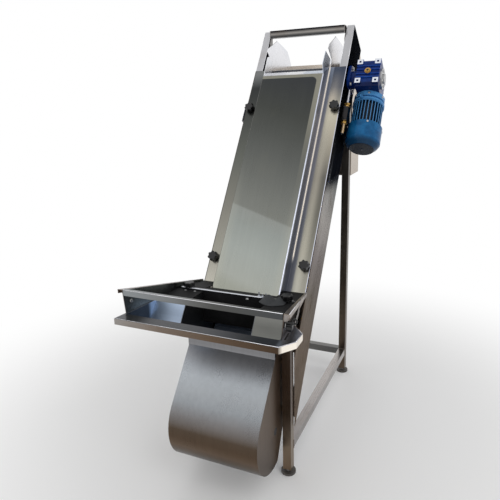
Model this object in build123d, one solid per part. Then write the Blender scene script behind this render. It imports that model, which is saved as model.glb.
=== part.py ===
from build123d import *

import math
import os

# Cleated elevator conveyor: a steep belt conveyor on four legs, with a feed hopper at its foot
# and a discharge duct behind its head.
# Lengths are in millimetres. X runs across the conveyor, Y backwards and Z up. While the pieces are
# made, the origin is the lower outer corner of the cover on the conveyor's centre plane.
# Along the incline, s runs up the belt and n stands square off it, outwards.

# Incline and side panels
INCLINE = math.radians(55.4)
HALF_WIDTH = 200.0
PANEL_THICKNESS = 2.5
PANEL_DEPTH = 160.0
FLANGE_WIDTH = 30.0
TOP_S = 1156.0
REAR_FLANGE_TOP_S = 865.0
SEAT_GAP = 0.3

# Legs, base and feet
TUBE = 30.0
TUBE_WALL = 2.0
FRONT_LEG_Y = -146.0
REAR_LEG_Y = 625.0
LEG_FOOT_Z = -611.0
BASE_TUBE_Z = -537.0
FOOT_HEIGHT = 18.0
FOOT_PAD_RADIUS = 26.0
FOOT_PAD_HEIGHT = 9.0
FOOT_STEM_RADIUS = 8.0
FOOT_PLUG_LENGTH = 30.0

# Cover over the belt
SHEET = 2.0
COVER_HALF_WIDTH = 130.0
COVER_HEIGHT = 63.5
COVER_TOP_S = 950.0
PLATEAU_TOP_S = 873.0
PLATEAU_FOOT_S = -37.0
COVER_BEND = 5.0
VISOR_DEPTH = 32.0
# Corners (s, n) of the tabs that stand on the cover's walls beyond the plateau
TAB_RIGHT = ((900.0, 88.0), (965.0, 82.0), (982.0, 6.0))
TAB_LEFT = ((965.0, 65.0), (980.0, 52.0), (982.0, 6.0))
KNOB_RADIUS = 20.0
KNOB_LOBES = 7
KNOB_LOBE_DEPTH = 4.5
KNOB_EDGE = 2.0
KNOB_HEIGHT = 16.0
KNOB_BOSS_RADIUS = 9.0
KNOB_BOSS_HEIGHT = 8.0
STUD_RADIUS = 4.0
STUD_CLEARANCE = 0.3
STUD_REACH = 18.0
KNOB_POINTS_PER_LOBE = 6
COVER_KNOB_EDGE = 19.0
COVER_KNOB_S = (97.0, 757.0)

# Belt, drums and bed
BELT_SIDE_GAP = 6.0
BELT_THICKNESS = 9.0
BELT_PITCH = 25.4
HINGE_GROOVE_WIDTH = 5.0
HINGE_GROOVE_DEPTH = 2.4
BELT_AXIS_N = -73.0
DRUM_RADIUS = 46.0
HEAD_S = 935.0
TAIL_S = -465.0
CLEAT_EVERY = 8
CLEAT_HEIGHT = 30.0
CLEAT_THICKNESS = 6.0
CLEAT_EDGE = 12.0
SHAFT_RADIUS = 12.5
DRUM_EDGE = 4.0
BED_FOOT_S = -395.0
BED_TOP_S = 865.0
WEAR_STRIP_WIDTH = 22.0
WEAR_STRIP_HEIGHT = 9.7
WEAR_STRIP_X = (-95.0, 0.0, 95.0)
BED_BAR_RADIUS = 10.0
BED_BAR_S = (-120.0, 240.0, 600.0)

# Guide plates beside the belt
GUIDE_FOOT_S = -420.0
GUIDE_TOP_N = -3.0
GUIDE_WING_S = 985.0
GUIDE_WING_N = 8.0
GUIDE_WING = ((775.0, 848.0), (748.0, 874.0), (703.0, 887.0), (618.0, 908.0), (570.0, 888.0), (515.0, 868.0),
              (504.0, 854.0))
GUIDE_REAR_FOOT_Z = 710.0

# Discharge duct behind the head
DUCT_REAR_Y = 803.0
DUCT_FOOT_Z = 325.0
DUCT_SHOULDER_Z = 830.0
DUCT_REAR_WALL_TOP_Z = 812.0
DUCT_FRONT_WALL_TOP_Z = 640.0
DUCT_SIDE_TOP_N = -18.0

# Boot round the tail drum
BOOT_GAP = 3.9
BOOT_NECK_OVERHANG = 2.0
BOOT_SEAM_Y = -197.0
BOOT_SEAM_Z = -161.5
BOOT_CENTRE_Y = -221.0
BOOT_CENTRE_Z = -413.0
BOOT_RADIUS = 140.0
BOOT_END_DEG = 285.0
BOOT_SIDE_REAR_Y = -118.0
BOOT_BOSS_RADIUS = 10.0
BOOT_BOSS_Z = (-380.0, -200.0)

# Feed hopper
RIM_TOP_Z = 19.0
RIM_FRONT_Y = -446.0
RIM_FRONT_HALF = 270.0
RIM_HALF = 303.5
RIM_CORNER = 48.0
RIM_SIDE = 54.0
RIM_LIP = 20.0
RIM_INNER_FRONT_Y = -404.0
RIM_WAIST_HALF = 262.0
RIM_REAR_Y = -118.0
BAFFLE_N = 226.0
HOPPER_FRONT_Y = -398.5
HOPPER_TOP_Z = 95.5
HOPPER_FRONT_HALF = 269.0
HOPPER_FOOT_HALF = 261.5
HOPPER_HEM = 18.0
HOPPER_HEM_REAR = 5.0
HOPPER_HEM_DROP = 13.0
HOPPER_REAR_Y = -4.0
HOPPER_REAR_TOP_Z = 9.0
HOPPER_REAR_FOOT_Z = -6.0
HOPPER_RAIL_HEIGHT = 19.0
HOPPER_RAIL_DEPTH = 12.0
CHUTE_FOOT_Z = -140.0
LINER_THICKNESS = 2.0
SEAL_THICKNESS = 3.0
CURTAIN_BAR_Y = -144.0
CURTAIN_BAR_HEIGHT = 6.0
CURTAIN_BAR_DEPTH = 12.0
CURTAIN_THICKNESS = 4.0
CURTAIN_DROP = 110.0
CURTAIN_KNOB_EDGE = 18.0
CURTAIN_KNOB_BOSS = 4.0
SIDE_KNOB_Y = -380.0
SIDE_KNOB_Z = 54.0
SIDE_KNOB_RADIUS = 15.0

# Gear reducer and motor
GEAR_INNER_X = 236.0
GEAR_WIDTH = 92.0
GEAR_LENGTH = 120.0
GEAR_FRONT_N = -15.0
GEAR_DEPTH = 144.0
GEAR_CORNER = 10.0
GEAR_LUG = 24.0
GEAR_LUG_HEIGHT = 6.0
GEAR_LUG_HOLE_RADIUS = 4.3
GEAR_LUG_SPAN_X = 70.0
GEAR_LUG_SPAN_S = 88.0
GEAR_RIB_THICKNESS = 5.0
GEAR_RIB_HEIGHT = 4.0
GEAR_RIB_S = (-26.0, -10.0, 10.0, 26.0)
PLUG_BOSS_RADIUS = 14.0
FLANGE_HALF = 48.0
FLANGE_THICKNESS = 12.0
FLANGE_CORNER = 16.0
GEAR_NECK_RADIUS = 36.0
GEAR_RING_RADIUS = 42.0
GEAR_RING_THICKNESS = 8.0
GEAR_CAP_RADIUS = 20.0
GEAR_CAP_THICKNESS = 7.0
PLUG_RADIUS = 9.0
PLUG_HEIGHT = 6.0
WORM_OFFSET = 50.0
MOTOR_FLANGE_RADIUS = 62.0
MOTOR_FLANGE_THICKNESS = 20.0
MOTOR_BODY_RADIUS = 60.0
MOTOR_BODY_LENGTH = 118.0
MOTOR_FIN_HEIGHT = 8.0
MOTOR_FIN_THICKNESS = 3.0
MOTOR_FIN_COUNT = 28
MOTOR_SHIELD_RADIUS = 64.0
MOTOR_SHIELD_LENGTH = 22.0
MOTOR_SHIELD_BEVEL = 9.0
TERMINAL_BOX_WIDTH = 62.0
TERMINAL_BOX_LENGTH = 68.0
TERMINAL_BOX_MARGIN = 6.0
TERMINAL_BOX_HEIGHT = 34.0
TERMINAL_BOX_CORNER = 5.0
GLAND_RADIUS = 11.0
GLAND_LENGTH = 14.0
FAN_COVER_RADIUS = 69.0
FAN_COVER_LENGTH = 96.0
FAN_COVER_SHOULDER = 26.0
FAN_COVER_TAPER = 7.0
FAN_COVER_BEVEL = 14.0

# Take-up rods on the side panels
ROD_RADIUS = 6.0
ROD_X = 214.0
ROD_N = -48.0
ROD_FOOT_S = 668.0
ROD_TOP_S = 868.0
ROD_BLOCK_S = 752.0
ROD_BLOCK_LENGTH = 62.0
ROD_BLOCK_HEIGHT = 34.0
ROD_NUT_RADIUS = 10.0
ROD_NUT_LENGTH = 9.0

# Bearing of the head shaft on the left side
BEARING_HALF = 46.0
BEARING_CORNER = 14.0
BEARING_HUB_RADIUS = 28.0
BEARING_THICKNESS = 12.0

COS = math.cos(INCLINE)
SIN = math.sin(INCLINE)
SIDE_PLANE = Plane(origin=(0, 0, 0), x_dir=(0, COS, SIN), z_dir=(1, 0, 0))
WEB_INNER_X = HALF_WIDTH - PANEL_THICKNESS
COVER_KNOB_X = HALF_WIDTH - COVER_KNOB_EDGE
GUIDE_X = COVER_HALF_WIDTH
BELT_HALF_WIDTH = GUIDE_X - BELT_SIDE_GAP
CLEAT_HALF_WIDTH = BELT_HALF_WIDTH - CLEAT_EDGE
DRUM_HALF_WIDTH = BELT_HALF_WIDTH - DRUM_EDGE
THROAT_HALF = BELT_HALF_WIDTH
DUCT_OUTER_X = WEB_INNER_X - SEAT_GAP
DUCT_INNER_X = DUCT_OUTER_X - SHEET
LEG_OUTER_X = DUCT_INNER_X - SEAT_GAP
LEG_INNER_X = LEG_OUTER_X - TUBE
BOOT_HALF_WIDTH = LEG_INNER_X - BOOT_GAP
CURTAIN_KNOB_X = HALF_WIDTH - CURTAIN_KNOB_EDGE
FRONT_LEG_BACK_Y = FRONT_LEG_Y + TUBE
REAR_LEG_BACK_Y = REAR_LEG_Y + TUBE
RIM_BOTTOM_Z = RIM_TOP_Z - SHEET
FLOOR_Z = LEG_FOOT_Z - FOOT_HEIGHT
BELT_INNER_N = BELT_AXIS_N + DRUM_RADIUS + SEAT_GAP
WORM_N = BELT_AXIS_N - WORM_OFFSET
GEAR_X = GEAR_INNER_X + GEAR_WIDTH / 2
GEAR_FACE_N = GEAR_FRONT_N - GEAR_LUG_HEIGHT
MOTOR_TOP_S = HEAD_S - GEAR_LENGTH / 2 - MOTOR_FLANGE_THICKNESS
HOPPER_LEAN = (HOPPER_FRONT_HALF - HOPPER_FOOT_HALF) / (HOPPER_TOP_Z - RIM_TOP_Z)
# The rear end of each hopper side lies against the outside of its side panel.
HOPPER_REAR_HALF = HALF_WIDTH + 2 * SEAT_GAP + SHEET + HOPPER_LEAN * (RIM_TOP_Z - HOPPER_REAR_FOOT_Z)
HOPPER_SPLAY = (HOPPER_FOOT_HALF - HOPPER_REAR_HALF) / (HOPPER_REAR_Y - HOPPER_FRONT_Y)
BAFFLE_TOP_Y = (RIM_BOTTOM_Z * COS - BAFFLE_N) / SIN


def at(s, n):
    """Y and Z of the point s up the incline and n off it."""
    return (s * COS - n * SIN, s * SIN + n * COS)


def s_at_y(y, n):
    """s where the line at height n off the incline reaches depth y."""
    return (y + n * SIN) / COS


def thick(plane, outline, amount):
    """Solid of an outline on a plane, along the plane's normal whichever way the outline turns."""
    return extrude(plane * outline, amount, dir=plane.z_dir)


def slab(points, x_low, x_high):
    """Plate between two X planes with an outline of (s, n) points."""
    return thick(SIDE_PLANE.offset(x_low), Polygon(*points, align=None), x_high - x_low)


def upright(points, x_low, x_high):
    """Plate between two X planes with an outline of (Y, Z) points."""
    return thick(Plane.YZ.offset(x_low), Polygon(*points, align=None), x_high - x_low)


def block(x_low, x_high, y_low, y_high, z_low, z_high):
    """Box between three pairs of planes."""
    size = Box(x_high - x_low, y_high - y_low, z_high - z_low, align=(Align.MIN, Align.MIN, Align.MIN))
    return Pos(x_low, y_low, z_low) * size


def incline_block(x_low, x_high, s_low, s_high, n_low, n_high):
    """Box with two faces square to the belt's run."""
    corners = [(s_low, n_low), (s_high, n_low), (s_high, n_high), (s_low, n_high)]
    return slab(corners, x_low, x_high)


def cross_cylinder(radius, x_low, x_high, s, n):
    """Cylinder along X at a point of the incline."""
    y, z = at(s, n)
    disc = Pos(y, z) * Circle(radius)
    return thick(Plane.YZ.offset(x_low), disc, x_high - x_low)


def incline_plane(x, s, n, towards_s=True):
    """Plane at a point of the incline whose normal is the run of the belt, or the outward normal."""
    y, z = at(s, n)
    normal = (0, COS, SIN) if towards_s else (0, -SIN, COS)
    return Plane(origin=(x, y, z), x_dir=(1, 0, 0), z_dir=normal)


def mirrored(solid):
    """The same piece on the other side of the centre plane."""
    return mirror(solid, about=Plane.YZ)


def together(solids):
    """Separate solids as one node."""
    whole = solids[0]
    for solid in solids[1:]:
        whole += solid
    return whole


def side_panel():
    """Right side panel: a folded sheet with a web and two inward flanges."""
    foot_s = s_at_y(FRONT_LEG_BACK_Y + SEAT_GAP, 0)
    foot_rear_s = s_at_y(FRONT_LEG_BACK_Y + SEAT_GAP, -PANEL_DEPTH)
    web = slab([(foot_s, 0), (TOP_S, 0), (TOP_S, -PANEL_DEPTH), (foot_rear_s, -PANEL_DEPTH)],
               WEB_INNER_X, HALF_WIDTH)
    flange_inner_x = HALF_WIDTH - FLANGE_WIDTH
    front = slab([(foot_s, 0), (TOP_S, 0), (TOP_S, -PANEL_THICKNESS), (foot_s + TUBE, -PANEL_THICKNESS)],
                 flange_inner_x, HALF_WIDTH)
    rear = incline_block(flange_inner_x, HALF_WIDTH, foot_rear_s + TUBE, REAR_FLANGE_TOP_S,
                         -PANEL_DEPTH, -PANEL_DEPTH + PANEL_THICKNESS)
    panel = web + front + rear
    panel -= cross_cylinder(SHAFT_RADIUS + SEAT_GAP, 0, HALF_WIDTH, HEAD_S, BELT_AXIS_N)
    for s in COVER_KNOB_S:
        hole = incline_plane(COVER_KNOB_X, s, 0, False) * Cylinder(STUD_RADIUS + STUD_CLEARANCE, TUBE)
        panel -= hole
    return panel


def tube_along(plane, length):
    """Square tube along the plane's normal, from the plane."""
    wall = Rectangle(TUBE, TUBE) - Rectangle(TUBE - 2 * TUBE_WALL, TUBE - 2 * TUBE_WALL)
    return thick(plane, wall, length)


def leg(y_low, top_z):
    """Right leg tube from its foot to a height."""
    centre_x = LEG_OUTER_X - TUBE / 2
    base = Plane(origin=(centre_x, y_low + TUBE / 2, LEG_FOOT_Z), x_dir=(1, 0, 0), z_dir=(0, 0, 1))
    return tube_along(base, top_z - LEG_FOOT_Z)


def rear_leg():
    """Right rear leg, cut off under the front flange of the side panel."""
    top_z = at(TOP_S, 0)[1]
    above = slab([(HEAD_S, -PANEL_THICKNESS - SEAT_GAP), (TOP_S + TUBE * 2, -PANEL_THICKNESS - SEAT_GAP),
                  (TOP_S + TUBE * 2, TUBE * 2), (HEAD_S, TUBE * 2)], 0, HALF_WIDTH)
    return leg(REAR_LEG_Y, top_z) - above


def base_tube():
    """Right base tube between the front and the rear leg."""
    centre_x = LEG_OUTER_X - TUBE / 2
    start = Plane(origin=(centre_x, FRONT_LEG_BACK_Y, BASE_TUBE_Z + TUBE / 2), x_dir=(1, 0, 0), z_dir=(0, 1, 0))
    return tube_along(start, REAR_LEG_Y - FRONT_LEG_BACK_Y)


def cross_tube(z_low):
    """Tube between the two rear legs."""
    start = Plane(origin=(-LEG_INNER_X, REAR_LEG_Y + TUBE / 2, z_low + TUBE / 2), x_dir=(0, 1, 0), z_dir=(1, 0, 0))
    return tube_along(start, 2 * LEG_INNER_X)


def foot(y_low):
    """Right levelling foot: a pad, a stem and the plug in the leg's end."""
    centre = Pos(LEG_OUTER_X - TUBE / 2, y_low + TUBE / 2, 0)
    pad = Pos(0, 0, FLOOR_Z) * Cylinder(FOOT_PAD_RADIUS, FOOT_PAD_HEIGHT, align=(Align.CENTER, Align.CENTER, Align.MIN))
    stem = Pos(0, 0, FLOOR_Z) * Cylinder(FOOT_STEM_RADIUS, FOOT_HEIGHT, align=(Align.CENTER, Align.CENTER, Align.MIN))
    side = TUBE - 2 * TUBE_WALL - 2 * SEAT_GAP
    plug = Pos(0, 0, LEG_FOOT_Z) * Box(side, side, FOOT_PLUG_LENGTH, align=(Align.CENTER, Align.CENTER, Align.MIN))
    return centre * (pad + stem + plug)


def cover_tab(corners):
    """Tab that stands on the inner face of the cover's right wall, beyond the plateau."""
    outline = [(PLATEAU_TOP_S, COVER_HEIGHT - COVER_BEND), *corners, (COVER_TOP_S, SHEET), (PLATEAU_TOP_S, SHEET)]
    inner_x = COVER_HALF_WIDTH - SHEET
    return slab(outline, inner_x - SHEET, inner_x)


def channel_cover():
    """Folded sheet over the belt: two flanks, two walls and a raised plateau with sloped ends."""
    outer = [(-HALF_WIDTH, 0), (-HALF_WIDTH, SHEET), (-COVER_HALF_WIDTH, SHEET), (-COVER_HALF_WIDTH, COVER_HEIGHT),
             (COVER_HALF_WIDTH, COVER_HEIGHT), (COVER_HALF_WIDTH, SHEET), (HALF_WIDTH, SHEET), (HALF_WIDTH, 0),
             (COVER_HALF_WIDTH - SHEET, 0), (COVER_HALF_WIDTH - SHEET, COVER_HEIGHT - SHEET),
             (-COVER_HALF_WIDTH + SHEET, COVER_HEIGHT - SHEET), (-COVER_HALF_WIDTH + SHEET, 0)]
    section = Polygon(*outer, align=None)
    crown = section.vertices().filter_by(lambda v: v.Y > COVER_HEIGHT - SHEET / 2)
    section = fillet(crown, COVER_BEND)
    under = section.vertices().filter_by(lambda v: abs(v.Y - COVER_HEIGHT + SHEET) < SHEET / 4)
    section = fillet(under, COVER_BEND - SHEET)
    # The section plane looks up the incline, with its own Y along the outward normal.
    foot_y, foot_z = at(PLATEAU_FOOT_S, 0)
    section_plane = Plane(origin=(0, foot_y, foot_z), x_dir=(-1, 0, 0), z_dir=(0, COS, SIN))
    length = COVER_TOP_S - PLATEAU_FOOT_S
    hat = thick(section_plane, section, length)
    keep = slab([(0, 0), (COVER_TOP_S, 0), (PLATEAU_TOP_S, COVER_HEIGHT), (PLATEAU_FOOT_S, COVER_HEIGHT)],
                -HALF_WIDTH, HALF_WIDTH)
    hat = hat & keep
    slope = (COVER_TOP_S - PLATEAU_TOP_S) / COVER_HEIGHT
    visor_foot_n = COVER_HEIGHT - VISOR_DEPTH
    visor_s = COVER_TOP_S - slope * visor_foot_n
    inner_x = COVER_HALF_WIDTH - SHEET
    visor = slab([(PLATEAU_TOP_S, COVER_HEIGHT), (visor_s, visor_foot_n), (visor_s - SHEET, visor_foot_n),
                  (PLATEAU_TOP_S - SHEET, COVER_HEIGHT)], -inner_x, inner_x)
    visor -= incline_block(-inner_x, inner_x, PLATEAU_TOP_S - TUBE, COVER_TOP_S, COVER_HEIGHT - SHEET / 2, COVER_HEIGHT)
    cover = hat + visor + cover_tab(TAB_RIGHT) + mirrored(cover_tab(TAB_LEFT))
    for s in COVER_KNOB_S:
        for x in (-COVER_KNOB_X, COVER_KNOB_X):
            cover -= incline_plane(x, s, 0, False) * Cylinder(STUD_RADIUS + STUD_CLEARANCE, TUBE)
    return cover


def knob_outline(head_radius):
    """Outline of a knob's lobed head, a wave of short flats round its axis."""
    points = []
    count = KNOB_LOBES * KNOB_POINTS_PER_LOBE
    for index in range(count):
        turn = 2 * math.pi * index / count
        radius = head_radius - KNOB_LOBE_DEPTH * (1 - math.cos(KNOB_LOBES * turn)) / 2
        points.append((radius * math.cos(turn), radius * math.sin(turn)))
    return points


def star_knob(boss_height, reach, head_radius=KNOB_RADIUS):
    """Lobed hand knob with a six-sided hub and its stud, standing on the plane at Z = 0."""
    section = Polygon(*knob_outline(head_radius), align=None)
    head = thick(Plane.XY.offset(boss_height), section, KNOB_HEIGHT)
    head = chamfer(head.edges().group_by(Axis.Z)[-1], KNOB_EDGE)
    boss = thick(Plane.XY, RegularPolygon(KNOB_BOSS_RADIUS, 6), boss_height)
    knob = head + boss
    if reach:
        knob += Cylinder(STUD_RADIUS, reach, align=(Align.CENTER, Align.CENTER, Align.MAX))
    return knob


def cover_knob(x, s):
    """Hand knob on a flank of the cover."""
    return incline_plane(x, s, SHEET, False) * star_knob(KNOB_BOSS_HEIGHT, STUD_REACH)


def belt_path(distance, run, radius):
    """Point (s, n) and heading at a distance along the loop, which starts on the carrying run at the tail."""
    arc = math.pi * radius
    if distance < run:
        return (TAIL_S + distance, BELT_AXIS_N + radius, 0.0)
    if distance < run + arc:
        turn = (distance - run) / radius
        return (HEAD_S + radius * math.sin(turn), BELT_AXIS_N + radius * math.cos(turn), -turn)
    if distance < 2 * run + arc:
        return (HEAD_S - (distance - run - arc), BELT_AXIS_N - radius, -math.pi)
    turn = (distance - 2 * run - arc) / radius
    return (TAIL_S - radius * math.sin(turn), BELT_AXIS_N - radius * math.cos(turn), -math.pi - turn)


def belt_point(distance, run, radius, height):
    """Point (s, n) at a height off the middle of the belt, at a distance along its loop."""
    s, n, heading = belt_path(distance, run, radius)
    return (s - height * math.sin(heading), n + height * math.cos(heading))


def cleat_profile():
    """Section of a cleat, which widens at its root, upright on the middle of a belt module."""
    root = CLEAT_THICKNESS
    half = CLEAT_THICKNESS / 2
    surface = BELT_THICKNESS / 2
    return Polygon((-root, 0), (root, 0), (half, surface + root), (half, surface + CLEAT_HEIGHT),
                   (-half, surface + CLEAT_HEIGHT), (-half, surface + root), align=None)


def cleated_belt():
    """Loop of hinged belt modules round both drums, with a groove over each hinge and a row of cleats."""
    run = HEAD_S - TAIL_S
    inner_radius = DRUM_RADIUS + SEAT_GAP
    radius = inner_radius + BELT_THICKNESS / 2
    length = 2 * run + 2 * math.pi * radius
    cleat_count = int(length / (BELT_PITCH * CLEAT_EVERY))
    module_count = cleat_count * CLEAT_EVERY
    pitch = length / module_count
    surface = BELT_THICKNESS / 2
    outline = []
    for index in range(module_count):
        hinge = index * pitch
        outline.append(belt_point((hinge - HINGE_GROOVE_WIDTH / 2) % length, run, radius, surface))
        outline.append(belt_point(hinge, run, radius, surface - HINGE_GROOVE_DEPTH))
        outline.append(belt_point(hinge + HINGE_GROOVE_WIDTH / 2, run, radius, surface))
    middle = Pos((HEAD_S + TAIL_S) / 2, BELT_AXIS_N)
    inner = middle * SlotOverall(run + 2 * inner_radius, 2 * inner_radius)
    section = Polygon(*outline, align=None) - inner
    loop = thick(SIDE_PLANE.offset(-BELT_HALF_WIDTH), section, 2 * BELT_HALF_WIDTH)
    for index in range(cleat_count):
        s, n, heading = belt_path((index + 0.5) * CLEAT_EVERY * pitch + pitch / 2, run, radius)
        placed = Pos(s, n) * Rot(0, 0, math.degrees(heading)) * cleat_profile()
        loop += thick(SIDE_PLANE.offset(-CLEAT_HALF_WIDTH), placed, 2 * CLEAT_HALF_WIDTH)
    return loop


def drum(s, shaft_low, shaft_high):
    """Belt drum with its shaft."""
    return (cross_cylinder(DRUM_RADIUS, -DRUM_HALF_WIDTH, DRUM_HALF_WIDTH, s, BELT_AXIS_N)
            + cross_cylinder(SHAFT_RADIUS, shaft_low, shaft_high, s, BELT_AXIS_N))


def belt_bed():
    """Slide bed under the carrying run, with wear strips, and the cross bars that hold it."""
    top_n = BELT_INNER_N - SEAT_GAP
    plate_top_n = top_n - WEAR_STRIP_HEIGHT
    half = GUIDE_X - SEAT_GAP
    bed = incline_block(-half, half, BED_FOOT_S, BED_TOP_S, plate_top_n - SHEET, plate_top_n)
    for x in WEAR_STRIP_X:
        bed += incline_block(x - WEAR_STRIP_WIDTH / 2, x + WEAR_STRIP_WIDTH / 2, BED_FOOT_S, BED_TOP_S,
                             plate_top_n, top_n)
    for s in BED_BAR_S:
        bed += cross_cylinder(BED_BAR_RADIUS, -half, half, s, plate_top_n - BED_BAR_RADIUS)
    return bed


def guide_outline():
    """Outline (Y, Z) of a guide plate: a strip beside the belt with a wing at the head."""
    bed_n = BELT_INNER_N - WEAR_STRIP_HEIGHT - SHEET - 2 * BED_BAR_RADIUS
    rear_y = DUCT_REAR_Y - SHEET
    return [at(GUIDE_FOOT_S, bed_n), at(HEAD_S, bed_n), (rear_y, GUIDE_REAR_FOOT_Z), (rear_y, DUCT_REAR_WALL_TOP_Z),
            *GUIDE_WING, at(GUIDE_WING_S, GUIDE_WING_N), at(COVER_TOP_S, GUIDE_TOP_N), at(GUIDE_FOOT_S, GUIDE_TOP_N)]


def guide_plate():
    """Right guide plate beside the belt, with its spacers to the side panel."""
    plate = upright(guide_outline(), GUIDE_X, GUIDE_X + SHEET)
    plate -= cross_cylinder(SHAFT_RADIUS + SEAT_GAP, GUIDE_X - SHEET, GUIDE_X + 2 * SHEET, HEAD_S, BELT_AXIS_N)
    bar_n = BELT_INNER_N - SEAT_GAP - WEAR_STRIP_HEIGHT - BED_BAR_RADIUS
    for s in BED_BAR_S:
        plate += cross_cylinder(BED_BAR_RADIUS, GUIDE_X, WEB_INNER_X, s, bar_n)
    return plate


def duct_side():
    """Right side of the head and the discharge duct."""
    front_y = REAR_LEG_BACK_Y + SEAT_GAP
    inner_n = -PANEL_DEPTH / 2
    head_front_s = s_at_y(front_y, inner_n)
    outline = [at(TOP_S, DUCT_SIDE_TOP_N), (DUCT_REAR_Y, DUCT_SHOULDER_Z), (DUCT_REAR_Y, DUCT_FOOT_Z), (front_y, DUCT_FOOT_Z),
               at(head_front_s, inner_n)]
    return upright(outline, DUCT_INNER_X, DUCT_OUTER_X)


def duct_rear_wall():
    """Rear wall of the discharge duct."""
    return block(-DUCT_INNER_X, DUCT_INNER_X, DUCT_REAR_Y - SHEET, DUCT_REAR_Y, DUCT_FOOT_Z, DUCT_REAR_WALL_TOP_Z)


def duct_front_wall():
    """Front wall of the discharge duct, behind the rear legs."""
    front_y = REAR_LEG_BACK_Y + SEAT_GAP
    return block(-DUCT_INNER_X, DUCT_INNER_X, front_y, front_y + SHEET, DUCT_FOOT_Z, DUCT_FRONT_WALL_TOP_Z)


def boot_curve(inset):
    """Points (Y, Z) along the boot's front at a distance inside it, from the hopper down round the tail drum."""
    radius = BOOT_RADIUS - inset
    centre = Vector(BOOT_CENTRE_Y, BOOT_CENTRE_Z)
    away = Vector(BOOT_SEAM_Y, BOOT_SEAM_Z) - centre
    # The straight front is tangent to the arc.
    turn = math.atan2(away.Y, away.X) + math.acos(BOOT_RADIUS / away.length)
    lean = Vector(math.cos(turn), math.sin(turn))
    top = Vector(BOOT_SEAM_Y, BOOT_SEAM_Z) - lean * inset
    along = Vector(lean.Y, -lean.X)
    reach = (CHUTE_FOOT_Z - BOOT_SEAM_Z) / along.Y
    start = top + along * reach
    tangent = centre + lean * radius
    end_turn = math.radians(BOOT_END_DEG)
    middle_turn = (turn + end_turn) / 2
    middle = centre + Vector(math.cos(middle_turn), math.sin(middle_turn)) * radius
    end = centre + Vector(math.cos(end_turn), math.sin(end_turn)) * radius
    return start, tangent, middle, end


def boot_cover():
    """Curved front of the boot, between its side plates."""
    outer = boot_curve(0)
    inner = boot_curve(SHEET)
    edge = [Line(outer[0], outer[1]), ThreePointArc(outer[1], outer[2], outer[3]), Line(outer[3], inner[3]),
            ThreePointArc(inner[3], inner[2], inner[1]), Line(inner[1], inner[0]), Line(inner[0], outer[0])]
    section = make_face(edge)
    half = BOOT_HALF_WIDTH
    return thick(Plane.YZ.offset(-half), section, 2 * half)


def boot_neck():
    """Upright strip between the hopper's floor and the top of the boot's curved front."""
    top, _, foot = chute_ends()
    slope = (foot.Y - top.Y) / (foot.X - top.X)
    floor_z = foot.Y + slope * (BOOT_SEAM_Y - foot.X)
    front_y = BOOT_SEAM_Y - BOOT_NECK_OVERHANG
    # The strip ends under the floor's sheet.
    top_z = floor_z - SHEET * math.hypot(1, slope) - SEAT_GAP
    return block(-BOOT_HALF_WIDTH, BOOT_HALF_WIDTH, front_y, BOOT_SEAM_Y, BOOT_SEAM_Z, top_z)


def boot_side():
    """Right side plate of the boot, inside its curved front."""
    inner = boot_curve(SHEET + SEAT_GAP)
    rear_y = BOOT_SIDE_REAR_Y
    top_front = Vector(BAFFLE_TOP_Y + 2 * SHEET, RIM_BOTTOM_Z - SEAT_GAP)
    top_rear = Vector(rear_y, RIM_BOTTOM_Z - SEAT_GAP)
    foot_rear = Vector(rear_y, BOOT_CENTRE_Z)
    edge = [Line(inner[0], inner[1]), ThreePointArc(inner[1], inner[2], inner[3]), Line(inner[3], foot_rear),
            Line(foot_rear, top_rear), Line(top_rear, top_front), Line(top_front, inner[0])]
    plate = thick(Plane.YZ.offset(BOOT_HALF_WIDTH - SHEET), make_face(edge), SHEET)
    for z in BOOT_BOSS_Z:
        boss = Pos(FRONT_LEG_Y + TUBE / 2, z) * Circle(BOOT_BOSS_RADIUS)
        plate += thick(Plane.YZ.offset(BOOT_HALF_WIDTH), boss, LEG_INNER_X - BOOT_HALF_WIDTH)
    return plate - cross_cylinder(SHAFT_RADIUS + SEAT_GAP, BOOT_HALF_WIDTH - 2 * SHEET, BOOT_HALF_WIDTH + SHEET,
                                  TAIL_S, BELT_AXIS_N)


def feed_rim():
    """Flat rim of the hopper with a turned-down lip on its front and sides, and the opening over the belt."""
    corner_y = RIM_FRONT_Y + RIM_CORNER
    side_y = corner_y + RIM_SIDE
    waist_y = side_y + RIM_CORNER
    rear_half = hopper_side_x(RIM_REAR_Y, RIM_TOP_Z)
    # Only the right side has an ear, so the left one runs straight to the hopper side's foot.
    outline = [(-RIM_FRONT_HALF, RIM_FRONT_Y), (RIM_FRONT_HALF, RIM_FRONT_Y), (RIM_HALF, corner_y),
               (RIM_HALF, side_y), (RIM_WAIST_HALF, waist_y), (rear_half, RIM_REAR_Y),
               (-rear_half, RIM_REAR_Y), (-HOPPER_FOOT_HALF, HOPPER_FRONT_Y)]
    face = Polygon(*outline, align=None)
    lip_plane = Plane.XY.offset(RIM_TOP_Z - RIM_LIP)
    solid = thick(lip_plane, face, RIM_LIP)
    hollow = thick(lip_plane, offset(face, -SHEET), RIM_LIP - SHEET)
    # The lip stops in front of the legs.
    hollow += block(-RIM_HALF, RIM_HALF, FRONT_LEG_Y - SHEET, RIM_REAR_Y, RIM_TOP_Z - RIM_LIP, RIM_BOTTOM_Z)
    return solid - hollow - rim_opening()


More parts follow.
